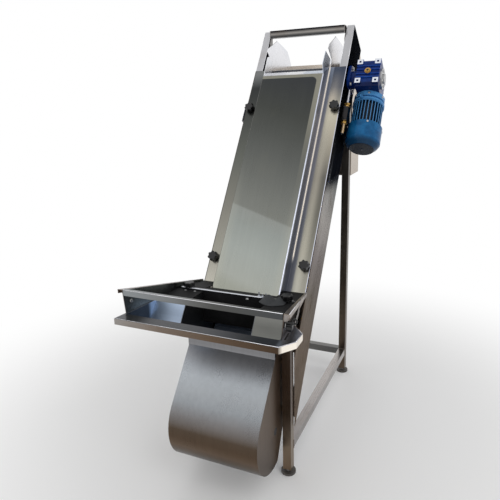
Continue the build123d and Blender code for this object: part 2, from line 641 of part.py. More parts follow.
def rim_opening():
    """Opening of the rim: wide over the pockets in front, narrow over the belt behind."""
    low_z = RIM_TOP_Z - RIM_LIP
    high_z = RIM_TOP_Z + RIM_LIP
    front_half = pocket_outer_x(RIM_INNER_FRONT_Y) - SHEET
    rear_half = pocket_outer_x(BAFFLE_TOP_Y) - SHEET
    outline = Polygon((-front_half, RIM_INNER_FRONT_Y), (front_half, RIM_INNER_FRONT_Y),
                      (rear_half, BAFFLE_TOP_Y), (-rear_half, BAFFLE_TOP_Y), align=None)
    wide = thick(Plane.XY.offset(low_z), outline, high_z - low_z)
    return wide + block(-THROAT_HALF, THROAT_HALF, RIM_INNER_FRONT_Y, CURTAIN_BAR_Y, low_z, high_z)


def hopper_side_x(y, z):
    """X of the right hopper side's outer face at a depth and a height."""
    return HOPPER_FOOT_HALF - HOPPER_SPLAY * (y - HOPPER_FRONT_Y) + HOPPER_LEAN * (z - RIM_TOP_Z)


def hopper_side_inner_x(y, z=RIM_TOP_Z):
    """X of the right hopper side's inner face at a depth and a height."""
    return hopper_side_x(y, z) - SHEET * math.hypot(1, HOPPER_SPLAY, HOPPER_LEAN)


def sheet_from(corners, inwards):
    """Sheet with flat corner points, thickened by its own gauge along a direction."""
    face = make_face(Polyline(*corners, close=True))
    return extrude(face, SHEET, dir=inwards)


def hopper_side():
    """Right side of the hopper: a tapered sheet, splayed and leaning outwards, with a hem along its top."""
    front_y = HOPPER_FRONT_Y
    rear_y = HOPPER_REAR_Y
    inwards = Vector(-1, -HOPPER_SPLAY, HOPPER_LEAN).normalized()
    low_z = HOPPER_REAR_FOOT_Z
    plate = sheet_from([(hopper_side_x(front_y, low_z), front_y, low_z), (hopper_side_x(rear_y, low_z), rear_y, low_z),
                        (hopper_side_x(rear_y, HOPPER_REAR_TOP_Z), rear_y, HOPPER_REAR_TOP_Z),
                        (hopper_side_x(front_y, HOPPER_TOP_Z), front_y, HOPPER_TOP_Z)], inwards)
    # The sheet stands on the rim, and reaches lower behind it.
    plate -= block(0, RIM_HALF, RIM_FRONT_Y, RIM_REAR_Y + SEAT_GAP, low_z - SHEET, RIM_TOP_Z)
    edge_front = Vector(hopper_side_x(front_y, HOPPER_TOP_Z), front_y, HOPPER_TOP_Z) + inwards * SHEET
    edge_rear = Vector(hopper_side_x(rear_y, HOPPER_REAR_TOP_Z), rear_y, HOPPER_REAR_TOP_Z) + inwards * SHEET
    # The hem narrows towards the rear.
    out_front = edge_front + Vector(HOPPER_HEM, 0, 0)
    out_rear = edge_rear + Vector(HOPPER_HEM_REAR, 0, 0)
    drop = Vector(0, 0, -HOPPER_HEM_DROP)
    down = Vector(1, 0, 0).cross(edge_rear - edge_front).normalized()
    down = down if down.Z < 0 else -down
    top = sheet_from([edge_front, edge_rear, out_rear, out_front], down)
    lip = sheet_from([out_front, out_rear, out_rear + drop, out_front + drop], Vector(-1, 0, 0))
    return plate + top + lip


def hopper_rail():
    """Front rail across the top of the hopper, between its sides."""
    rear_y = HOPPER_FRONT_Y + HOPPER_RAIL_DEPTH
    low_z = HOPPER_TOP_Z - HOPPER_RAIL_HEIGHT
    # The ends stand clear of the leaning sides at their narrowest.
    front_half = hopper_side_inner_x(HOPPER_FRONT_Y, low_z) - SEAT_GAP
    rear_half = hopper_side_inner_x(rear_y, low_z) - SEAT_GAP
    face = Polygon((-front_half, HOPPER_FRONT_Y), (front_half, HOPPER_FRONT_Y), (rear_half, rear_y),
                   (-rear_half, rear_y), align=None)
    return thick(Plane.XY.offset(low_z), face, HOPPER_RAIL_HEIGHT)


def chute_ends():
    """Top, baffle line and foot (Y, Z) of the hopper's sloped floor."""
    top = Vector(RIM_INNER_FRONT_Y, RIM_BOTTOM_Z)
    foot = boot_curve(0)[0]
    slope = (foot.Y - top.Y) / (foot.X - top.X)
    # The baffle lies parallel to the incline, at its own height off it.
    baffle_y = (BAFFLE_N - (top.Y - slope * top.X) * COS) / (slope * COS - SIN)
    return top, Vector(baffle_y, top.Y + slope * (baffle_y - top.X)), foot


def hopper_chute():
    """Sloped floor of the hopper: wide under its front opening, narrow down to the boot."""
    top, bend, foot = chute_ends()
    down = foot - top
    front_half = pocket_outer_x(top.X)
    bend_half = pocket_outer_x(bend.X)
    plane = Plane(origin=(0, top.X, top.Y), x_dir=(1, 0, 0), z_dir=(0, -down.Y, down.X))
    bend_reach = (bend - top).length
    reach = down.length - SEAT_GAP
    face = Polygon((-front_half, 0), (front_half, 0), (bend_half, bend_reach), (THROAT_HALF, bend_reach),
                   (THROAT_HALF, reach), (-THROAT_HALF, reach), (-THROAT_HALF, bend_reach),
                   (-bend_half, bend_reach), align=None)
    return thick(plane, face, -SHEET)


def pocket_outer_x(y):
    """Outer X of the right pocket beside the hopper's throat, which follows the hopper side."""
    return hopper_side_inner_x(y) - SEAT_GAP


def hopper_pocket():
    """Right pocket of the hopper: a baffle parallel to the incline and a cheek at its outer end."""
    top, bend, _ = chute_ends()
    top_s = BAFFLE_TOP_Y * COS + RIM_BOTTOM_Z * SIN
    bend_s = bend.X * COS + bend.Y * SIN
    baffle = incline_block(THROAT_HALF + SHEET, RIM_HALF, bend_s, top_s, BAFFLE_N - SHEET, BAFFLE_N)
    baffle -= block(0, RIM_HALF, RIM_FRONT_Y, 0, RIM_BOTTOM_Z, HOPPER_TOP_Z)
    front = (pocket_outer_x(RIM_FRONT_Y), RIM_FRONT_Y)
    rear = (pocket_outer_x(0), 0)
    inside = Polygon((0, RIM_FRONT_Y), front, rear, (0, 0), align=None)
    band = Polygon((front[0] - SHEET, front[1]), front, rear, (rear[0] - SHEET, rear[1]), align=None)
    base = Plane.XY.offset(CHUTE_FOOT_Z)
    height = RIM_BOTTOM_Z - CHUTE_FOOT_Z
    cheek = upright([(top.X, top.Y), (BAFFLE_TOP_Y, top.Y), (bend.X, bend.Y)], THROAT_HALF, RIM_HALF)
    return (baffle & thick(base, inside, height)) + (cheek & thick(base, band, height))


def hopper_skirt():
    """Right skirt between the throat of the rim and the belt."""
    _, bend, foot = chute_ends()
    top_z = RIM_BOTTOM_Z
    edge = [(BAFFLE_TOP_Y, top_z), (bend.X, bend.Y), (foot.X, foot.Y), at(GUIDE_FOOT_S / 2, GUIDE_TOP_N + SHEET),
            at(PLATEAU_FOOT_S, GUIDE_TOP_N + SHEET), at(PLATEAU_FOOT_S, COVER_HEIGHT / 2), (CURTAIN_BAR_Y, top_z)]
    return upright(edge, THROAT_HALF, THROAT_HALF + SHEET)


def hopper_liner():
    """Black mat on the rim, inside the hopper's sides."""
    front_x = hopper_side_inner_x(BAFFLE_TOP_Y) - SEAT_GAP
    rear_x = hopper_side_inner_x(CURTAIN_BAR_Y) - SEAT_GAP
    face = Polygon((-front_x, BAFFLE_TOP_Y), (front_x, BAFFLE_TOP_Y), (rear_x, CURTAIN_BAR_Y),
                   (-rear_x, CURTAIN_BAR_Y), align=None)
    return thick(Plane.XY.offset(RIM_TOP_Z), face, LINER_THICKNESS) - rim_opening()


def curtain_bar():
    """Clamp bar across the back of the hopper's opening."""
    half = hopper_side_inner_x(CURTAIN_BAR_Y + CURTAIN_BAR_DEPTH) - SEAT_GAP
    return block(-half, half, CURTAIN_BAR_Y, CURTAIN_BAR_Y + CURTAIN_BAR_DEPTH, RIM_TOP_Z, RIM_TOP_Z + CURTAIN_BAR_HEIGHT)


def feed_curtain():
    """Rubber curtain behind the hopper's opening, over the belt."""
    half = THROAT_HALF - SEAT_GAP
    return block(-half, half, CURTAIN_BAR_Y - CURTAIN_THICKNESS, CURTAIN_BAR_Y, RIM_TOP_Z - CURTAIN_DROP,
                 RIM_TOP_Z + CURTAIN_BAR_HEIGHT)


def seal_outline(foot):
    """Outline (Y, Z) of a rubber strip from the clamp bar over the rim's rear edge down to a foot."""
    bar_back_y = CURTAIN_BAR_Y + CURTAIN_BAR_DEPTH
    top_z = RIM_TOP_Z + SEAL_THICKNESS
    return [(bar_back_y, RIM_TOP_Z), (RIM_REAR_Y, RIM_TOP_Z), foot, (foot[0], foot[1] + SEAL_THICKNESS),
            (RIM_REAR_Y, top_z), (bar_back_y, top_z)]


def hopper_seal():
    """Rubber roof between the rim and the lower end of the cover."""
    crown_foot = at(PLATEAU_FOOT_S - SEAT_GAP, COVER_HEIGHT)
    # The flank's foot leans like the rest of the cover's lower end.
    flank_foot = at(PLATEAU_FOOT_S * SHEET / COVER_HEIGHT - SEAT_GAP, SHEET)
    centre = upright(seal_outline(crown_foot), -COVER_HALF_WIDTH, COVER_HALF_WIDTH)
    bar_back_y = CURTAIN_BAR_Y + CURTAIN_BAR_DEPTH
    right = upright(seal_outline(flank_foot), COVER_HALF_WIDTH + SEAT_GAP, HOPPER_FOOT_HALF)
    # Its outer edge follows the hopper side.
    beyond = Polygon((hopper_side_inner_x(bar_back_y, 0) - SEAT_GAP, bar_back_y), (HOPPER_FOOT_HALF, bar_back_y),
                     (HOPPER_FOOT_HALF, TUBE), (hopper_side_inner_x(TUBE, 0) - SEAT_GAP, TUBE), align=None)
    right -= thick(Plane.XY.offset(-TUBE), beyond, 2 * TUBE)
    return together([centre, right, mirrored(right)])


def curtain_knob(x):
    """Hand knob on the clamp bar."""
    top_z = RIM_TOP_Z + CURTAIN_BAR_HEIGHT
    return Pos(x, CURTAIN_BAR_Y + CURTAIN_BAR_DEPTH / 2, top_z) * star_knob(CURTAIN_KNOB_BOSS, 0.0)


def side_knob():
    """Hand knob on the outer face of the right hopper side."""
    x = hopper_side_x(SIDE_KNOB_Y, SIDE_KNOB_Z)
    plane = Plane(origin=(x, SIDE_KNOB_Y, SIDE_KNOB_Z), x_dir=(0, 1, -HOPPER_SPLAY), z_dir=(1, HOPPER_SPLAY, -HOPPER_LEAN))
    return plane * star_knob(KNOB_BOSS_HEIGHT, 0.0, SIDE_KNOB_RADIUS)


def gear_face(towards_front):
    """Plane on the front or the rear face of the gear body, whose normal leaves the body."""
    n = GEAR_FACE_N if towards_front else GEAR_FRONT_N - GEAR_DEPTH + GEAR_LUG_HEIGHT
    plane = incline_plane(GEAR_X, HEAD_S, n, False)
    return plane if towards_front else Plane(origin=plane.origin, x_dir=plane.x_dir, z_dir=-plane.z_dir)


def gear_housing():
    """Worm gear housing with ribs and corner lugs before and behind, bored for the head shaft."""
    low_s = HEAD_S - GEAR_LENGTH / 2
    outer_x = GEAR_INNER_X + GEAR_WIDTH
    rear_n = GEAR_FRONT_N - GEAR_DEPTH + GEAR_LUG_HEIGHT
    body = incline_block(GEAR_INNER_X, outer_x, low_s, low_s + GEAR_LENGTH, rear_n, GEAR_FACE_N)
    body = chamfer(body.edges().filter_by(Axis.X), GEAR_CORNER)
    lug = Rectangle(GEAR_LUG, GEAR_LUG)
    rib = Rectangle(GEAR_WIDTH, GEAR_RIB_THICKNESS)
    for towards_front in (True, False):
        face = gear_face(towards_front)
        for rib_s in GEAR_RIB_S:
            body += thick(face, Pos(0, rib_s) * rib, GEAR_RIB_HEIGHT)
        for place in GridLocations(GEAR_LUG_SPAN_X, GEAR_LUG_SPAN_S, 2, 2):
            body += thick(face.offset(-GEAR_CORNER), place * lug, GEAR_CORNER + GEAR_LUG_HEIGHT)
    front = gear_face(True)
    for place in GridLocations(GEAR_LUG_SPAN_X, GEAR_LUG_SPAN_S, 2, 2):
        body -= thick(front.offset(-GEAR_CORNER), place * Circle(GEAR_LUG_HOLE_RADIUS), GEAR_CORNER + GEAR_LUG_HEIGHT)
    body += thick(front, Circle(PLUG_BOSS_RADIUS), GEAR_LUG_HEIGHT)
    return body - cross_cylinder(SHAFT_RADIUS + SEAT_GAP, GEAR_INNER_X, outer_x, HEAD_S, BELT_AXIS_N)


def square_flange(x_low, x_high, half, corner):
    """Square flange with cut corners round the head shaft, between two X planes."""
    flange = incline_block(x_low, x_high, HEAD_S - half, HEAD_S + half, BELT_AXIS_N - half, BELT_AXIS_N + half)
    return chamfer(flange.edges().filter_by(Axis.X), corner)


def output_flange():
    """Flange between the gear housing and the side panel."""
    flange = square_flange(HALF_WIDTH, HALF_WIDTH + FLANGE_THICKNESS, FLANGE_HALF, FLANGE_CORNER)
    neck = cross_cylinder(GEAR_NECK_RADIUS, HALF_WIDTH, GEAR_INNER_X, HEAD_S, BELT_AXIS_N)
    bore = cross_cylinder(SHAFT_RADIUS + SEAT_GAP, HALF_WIDTH, GEAR_INNER_X, HEAD_S, BELT_AXIS_N)
    return flange + neck - bore


def gear_cover():
    """Bearing cover on the outer face of the gear housing."""
    outer_x = GEAR_INNER_X + GEAR_WIDTH
    ring = cross_cylinder(GEAR_RING_RADIUS, outer_x, outer_x + GEAR_RING_THICKNESS, HEAD_S, BELT_AXIS_N)
    cap = cross_cylinder(GEAR_CAP_RADIUS, outer_x, outer_x + GEAR_RING_THICKNESS + GEAR_CAP_THICKNESS,
                         HEAD_S, BELT_AXIS_N)
    return ring + cap


def oil_plug():
    """Plug in the front face of the gear housing."""
    plane = incline_plane(GEAR_X, HEAD_S, GEAR_FRONT_N, False)
    return plane * Cylinder(PLUG_RADIUS, PLUG_HEIGHT, align=(Align.CENTER, Align.CENTER, Align.MIN))


def motor_plane(s):
    """Plane across the motor's axis whose normal runs down the incline."""
    y, z = at(s, WORM_N)
    return Plane(origin=(GEAR_X, y, z), x_dir=(1, 0, 0), z_dir=(0, -COS, -SIN))


def motor_flange():
    """Round flange between gear housing and motor."""
    top_s = MOTOR_TOP_S + MOTOR_FLANGE_THICKNESS
    return thick(motor_plane(top_s), Circle(MOTOR_FLANGE_RADIUS), MOTOR_FLANGE_THICKNESS)


def motor_body():
    """Motor body: a bevelled end shield, lengthwise cooling fins and a terminal box at the rear."""
    core = Circle(MOTOR_BODY_RADIUS - MOTOR_FIN_HEIGHT)
    # Each fin starts inside the core, so that they join.
    fin_length = MOTOR_FIN_HEIGHT + MOTOR_FIN_THICKNESS
    fin = Pos(MOTOR_BODY_RADIUS - fin_length / 2, 0) * Rectangle(fin_length, MOTOR_FIN_THICKNESS)
    section = core
    for index in range(MOTOR_FIN_COUNT):
        section += Rot(0, 0, index * 360 / MOTOR_FIN_COUNT) * fin
    finned = thick(motor_plane(MOTOR_TOP_S - MOTOR_SHIELD_LENGTH), section, MOTOR_BODY_LENGTH - MOTOR_SHIELD_LENGTH)
    shield = thick(motor_plane(MOTOR_TOP_S), Circle(MOTOR_SHIELD_RADIUS), MOTOR_SHIELD_LENGTH)
    shield = chamfer(rim_edge(shield, MOTOR_TOP_S), MOTOR_SHIELD_BEVEL)
    return shield + finned + terminal_box()


def rim_edge(solid, s):
    """Round edge of a solid on the plane across the motor's axis at s."""
    plane = motor_plane(s)
    return solid.edges().filter_by(lambda edge: abs(plane.to_local_coords(edge.center()).Z) < SEAT_GAP
                                   and edge.geom_type == GeomType.CIRCLE)


def terminal_box():
    """Terminal box on the rear of the motor body, with a cable gland that looks down the incline."""
    middle_s = MOTOR_TOP_S - MOTOR_SHIELD_LENGTH - TERMINAL_BOX_MARGIN - TERMINAL_BOX_LENGTH / 2
    rear_n = WORM_N - MOTOR_BODY_RADIUS - TERMINAL_BOX_HEIGHT
    half_length = TERMINAL_BOX_LENGTH / 2
    half_width = TERMINAL_BOX_WIDTH / 2
    box = incline_block(GEAR_X - half_width, GEAR_X + half_width, middle_s - half_length, middle_s + half_length,
                        rear_n, WORM_N - MOTOR_BODY_RADIUS + MOTOR_FIN_HEIGHT)
    plane = incline_plane(GEAR_X, middle_s, rear_n, False)
    outer = box.edges().filter_by(lambda edge: abs(plane.to_local_coords(edge.center()).Z) < SEAT_GAP)
    box = chamfer(outer, TERMINAL_BOX_CORNER)
    gland_n = rear_n + TERMINAL_BOX_HEIGHT / 2
    y, z = at(middle_s - half_length, gland_n)
    gland_plane = Plane(origin=(GEAR_X, y, z), x_dir=(1, 0, 0), z_dir=(0, -COS, -SIN))
    return box + thick(gland_plane, RegularPolygon(GLAND_RADIUS, 6), GLAND_LENGTH)


def fan_cover():
    """Fan cover: a barrel whose shoulder narrows in two steps to its flat end."""
    shoulder = FAN_COVER_LENGTH - FAN_COVER_SHOULDER
    bevel = FAN_COVER_LENGTH - FAN_COVER_BEVEL
    profile = Polygon((0, 0), (FAN_COVER_RADIUS, 0), (FAN_COVER_RADIUS, shoulder),
                      (FAN_COVER_RADIUS - FAN_COVER_TAPER, bevel),
                      (FAN_COVER_RADIUS - FAN_COVER_TAPER - FAN_COVER_BEVEL, FAN_COVER_LENGTH),
                      (0, FAN_COVER_LENGTH), align=None)
    turned = revolve(Plane.XZ * profile, Axis.Z)
    return motor_plane(MOTOR_TOP_S - MOTOR_BODY_LENGTH).location * turned


def take_up_rod():
    """Threaded take-up rod on the right side panel, with its block and nuts."""
    plane = incline_plane(ROD_X, ROD_FOOT_S, ROD_N)
    rod = plane * Cylinder(ROD_RADIUS, ROD_TOP_S - ROD_FOOT_S, align=(Align.CENTER, Align.CENTER, Align.MIN))
    shell = incline_block(HALF_WIDTH, ROD_X + 2 * ROD_RADIUS, ROD_BLOCK_S - ROD_BLOCK_LENGTH / 2,
                          ROD_BLOCK_S + ROD_BLOCK_LENGTH / 2, ROD_N - ROD_BLOCK_HEIGHT / 2, ROD_N + ROD_BLOCK_HEIGHT / 2)
    whole = rod + shell
    for s in (ROD_BLOCK_S - ROD_BLOCK_LENGTH / 2 - ROD_NUT_LENGTH, ROD_BLOCK_S + ROD_BLOCK_LENGTH / 2):
        nut = thick(incline_plane(ROD_X, s, ROD_N), RegularPolygon(ROD_NUT_RADIUS, 6), ROD_NUT_LENGTH)
        whole += nut
    return whole


def head_bearing():
    """Flanged bearing of the head shaft on the left side panel."""
    outer_x = HALF_WIDTH + 2 * BEARING_THICKNESS
    flange = square_flange(-HALF_WIDTH - BEARING_THICKNESS, -HALF_WIDTH, BEARING_HALF, BEARING_CORNER)
    hub = cross_cylinder(BEARING_HUB_RADIUS, -outer_x, -HALF_WIDTH, HEAD_S, BELT_AXIS_N)
    bore = cross_cylinder(SHAFT_RADIUS + SEAT_GAP, -outer_x, -HALF_WIDTH, HEAD_S, BELT_AXIS_N)
    return flange + hub - bore


def build_nodes():
    """All nodes of the conveyor by name."""
    nodes = {}
    pairs = {
        "side_panel": side_panel(), "rear_leg": rear_leg(), "front_leg": leg(FRONT_LEG_Y, RIM_BOTTOM_Z),
        "base_tube": base_tube(), "guide_plate": guide_plate(), "duct_side": duct_side(),
        "boot_side": boot_side(), "hopper_side": hopper_side(), "take_up_rod": take_up_rod(),
        "hopper_pocket": hopper_pocket(), "hopper_skirt": hopper_skirt(),
    }
    for name, solid in pairs.items():
        nodes[name + "_right"] = solid
        nodes[name + "_left"] = mirrored(solid)
    top_z = at(TOP_S, 0)[1]
    nodes["top_cross_tube"] = cross_tube(top_z - TUBE)
    nodes["rear_cross_tube"] = cross_tube(BASE_TUBE_Z)
    nodes["channel_cover"] = channel_cover()
    nodes["cover_knobs"] = together([cover_knob(x, s) for x in (-COVER_KNOB_X, COVER_KNOB_X) for s in COVER_KNOB_S])
    right_feet = [foot(y) for y in (FRONT_LEG_Y, REAR_LEG_Y)]
    nodes["levelling_feet"] = together(right_feet + [mirrored(solid) for solid in right_feet])
    nodes["cleated_belt"] = cleated_belt()
    nodes["belt_bed"] = belt_bed()
    nodes["head_drum"] = drum(HEAD_S, -HALF_WIDTH - BEARING_THICKNESS, GEAR_INNER_X + GEAR_WIDTH - SEAT_GAP)
    nodes["tail_drum"] = drum(TAIL_S, -BOOT_HALF_WIDTH, BOOT_HALF_WIDTH)
    nodes["duct_rear_wall"] = duct_rear_wall()
    nodes["duct_front_wall"] = duct_front_wall()
    nodes["boot_cover"] = boot_cover()
    nodes["boot_neck"] = boot_neck()
    nodes["feed_rim"] = feed_rim()
    nodes["hopper_rail"] = hopper_rail()
    nodes["hopper_chute"] = hopper_chute()
    nodes["hopper_liner"] = hopper_liner()
    nodes["hopper_seal"] = hopper_seal()
    nodes["curtain_bar"] = curtain_bar()
    nodes["feed_curtain"] = feed_curtain()
    nodes["curtain_knobs"] = together([curtain_knob(-CURTAIN_KNOB_X), curtain_knob(CURTAIN_KNOB_X)])
    nodes["side_knob"] = side_knob()
    nodes["gear_housing"] = gear_housing()
    nodes["output_flange"] = output_flange()
    nodes["gear_cover"] = gear_cover()
    nodes["oil_plug"] = oil_plug()
    nodes["motor_flange"] = motor_flange()
    nodes["motor_body"] = motor_body()
    nodes["fan_cover"] = fan_cover()
    nodes["head_bearing"] = head_bearing()
    return nodes


nodes = build_nodes()
boxes = [solid.bounding_box() for solid in nodes.values()]
low = [min(tuple(box.min)[axis] for box in boxes) for axis in range(3)]
high = [max(tuple(box.max)[axis] for box in boxes) for axis in range(3)]
to_origin = Location((-(low[0] + high[0]) / 2, -(low[1] + high[1]) / 2, -low[2]))
os.makedirs("parts", exist_ok=True)
for name, solid in nodes.items():
    export_step(solid.moved(to_origin), f"parts/{name}.step")
print("moved by", [round(value, 2) for value in to_origin.position])
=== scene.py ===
import enum
import logging
import math
from dataclasses import dataclass
from functools import cached_property

import bmesh
import bpy
from mathutils import Matrix, Vector


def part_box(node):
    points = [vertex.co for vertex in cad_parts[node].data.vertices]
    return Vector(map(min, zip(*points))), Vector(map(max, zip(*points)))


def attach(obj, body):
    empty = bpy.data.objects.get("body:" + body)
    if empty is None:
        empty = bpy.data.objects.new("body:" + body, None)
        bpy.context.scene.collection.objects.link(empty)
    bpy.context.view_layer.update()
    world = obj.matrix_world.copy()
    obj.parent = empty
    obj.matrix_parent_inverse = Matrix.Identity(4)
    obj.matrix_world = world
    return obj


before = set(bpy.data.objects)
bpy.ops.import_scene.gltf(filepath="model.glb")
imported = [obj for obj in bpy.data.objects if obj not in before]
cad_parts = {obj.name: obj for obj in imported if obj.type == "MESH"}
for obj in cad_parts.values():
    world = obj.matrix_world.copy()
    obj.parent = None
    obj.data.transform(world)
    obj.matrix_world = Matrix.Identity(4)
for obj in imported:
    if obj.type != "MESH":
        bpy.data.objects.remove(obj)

log = logging.getLogger("conveyor")

SIDES = (-1, 1)
CORNERS = tuple((side, end) for side in SIDES for end in SIDES)

# A display colour: red, green and blue from 0 to 255.
Colour = tuple[float, float, float]
Material = bpy.types.Material


def metres(*millimetres: float) -> Vector:
    """A vector in metres from values in millimetres."""
    return Vector([value / 1000 for value in millimetres])


def linear(colour: Colour) -> tuple[float, float, float, float]:
    """Scene-linear colour of a display colour, with its alpha.

    Args:
        colour: The display colour.

    Returns:
        The linear red, green and blue, and 1.
    """
    parts = [value / 255 for value in colour]
    return (*(part / 12.92 if part <= 0.04045 else ((part + 0.055) / 1.055) ** 2.4 for part in parts), 1.0)


def tones(span: tuple[float, float], *rows: tuple[float, float, float, float]) -> tuple:
    """Rows of a ramp with their places as shares of a span.

    Args:
        span: The ramp's two ends in metres.
        rows: Each a place in metres and its red, green and blue.

    Returns:
        The rows with places from 0 to 1.
    """
    low, high = span
    return tuple((min(max((place - low) / (high - low), 0.0), 1.0), *colour) for place, *colour in rows)


def linked(name: str, data: bpy.types.ID) -> bpy.types.Object:
    """New object in the scene."""
    made = bpy.data.objects.new(name, data)
    bpy.context.scene.collection.objects.link(made)
    return made


@dataclass(frozen=True)
class Incline:
    """Places on the conveyor: X across, Y backwards, Z up from the cover's lower corner, s and n on the belt."""

    angle: float = math.radians(55.4)
    leg_front: float = 0.146
    floor_to_corner: float = 0.629

    @property
    def along(self) -> Vector:
        """Direction up the belt's run."""
        return Vector((0, math.cos(self.angle), math.sin(self.angle)))

    @property
    def outward(self) -> Vector:
        """Direction square off the belt's run, away from the machine."""
        return Vector((0, -math.sin(self.angle), math.cos(self.angle)))

    @property
    def corner(self) -> Vector:
        """The cover's lower corner on the centre plane."""
        low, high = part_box("channel_cover")
        return Vector(((low[0] + high[0]) / 2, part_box("front_leg_right")[0][1] + self.leg_front,
                       self.floor_to_corner))

    def at(self, x: float, y: float, z: float) -> Vector:
        """Place from X, Y and Z in millimetres from the cover's lower corner."""
        return self.corner + metres(x, y, z)

    def on(self, x: float, s: float, n: float) -> Vector:
        """Place from X, s and n in millimetres."""
        return self.corner + Vector((x / 1000, 0, 0)) + self.along * (s / 1000) + self.outward * (n / 1000)


INCLINE = Incline()


class Link:
    """A shader socket that takes part in Python expressions."""

    def __init__(self, graph: "Graph", socket: bpy.types.NodeSocket) -> None:
        """Keep the socket and its graph.

        Args:
            graph: The graph that holds the socket.
            socket: The output socket.
        """
        self.graph = graph
        self.socket = socket

    def _maths(self, operation: str, *values: "Link | float") -> "Link":
        """Add a Math node.

        Args:
            operation: The node's operation.
            values: Its inputs in order.

        Returns:
            The node's result.
        """
        return self.graph.add("ShaderNodeMath", {"operation": operation}, dict(enumerate(values)))

    def __add__(self, other: "Link | float") -> "Link":
        """Sum."""
        return self._maths("ADD", self, other)

    __radd__ = __add__

    def __sub__(self, other: "Link | float") -> "Link":
        """Difference."""
        return self._maths("SUBTRACT", self, other)

    def __rsub__(self, other: "Link | float") -> "Link":
        """Reflected difference."""
        return self._maths("SUBTRACT", other, self)

    def __mul__(self, other: "Link | float") -> "Link":
        """Product."""
        return self._maths("MULTIPLY", self, other)

    __rmul__ = __mul__

    def __truediv__(self, other: "Link | float") -> "Link":
        """Quotient."""
        return self._maths("DIVIDE", self, other)

    def step(self, low: float, high: float) -> "Link":
        """Smooth rise from 0 at low to 1 at high.

        Args:
            low: Value where the rise starts.
            high: Value where it ends; below low for a fall.

        Returns:
            The clamped result.
        """
        settings = {"interpolation_type": "SMOOTHSTEP", "clamp": True}
        if high >= low:
            return self.graph.add("ShaderNodeMapRange", settings, {0: self, 1: low, 2: high, 3: 0.0, 4: 1.0})
        return self.graph.add("ShaderNodeMapRange", settings, {0: self, 1: high, 2: low, 3: 1.0, 4: 0.0})

    def wave(self) -> "Link":
        """Sine."""
        return self._maths("SINE", self)

    def size(self) -> "Link":
        """Absolute value."""
        return self._maths("ABSOLUTE", self)

    def most(self, other: "Link | float") -> "Link":
        """The larger value."""
        return self._maths("MAXIMUM", self, other)

    def between(self, low: float, high: float) -> "Link":
        """Share of the way from low to high."""
        return (self - low) / (high - low)

    def root(self) -> "Link":
        """Square root."""
        return self._maths("SQRT", self)


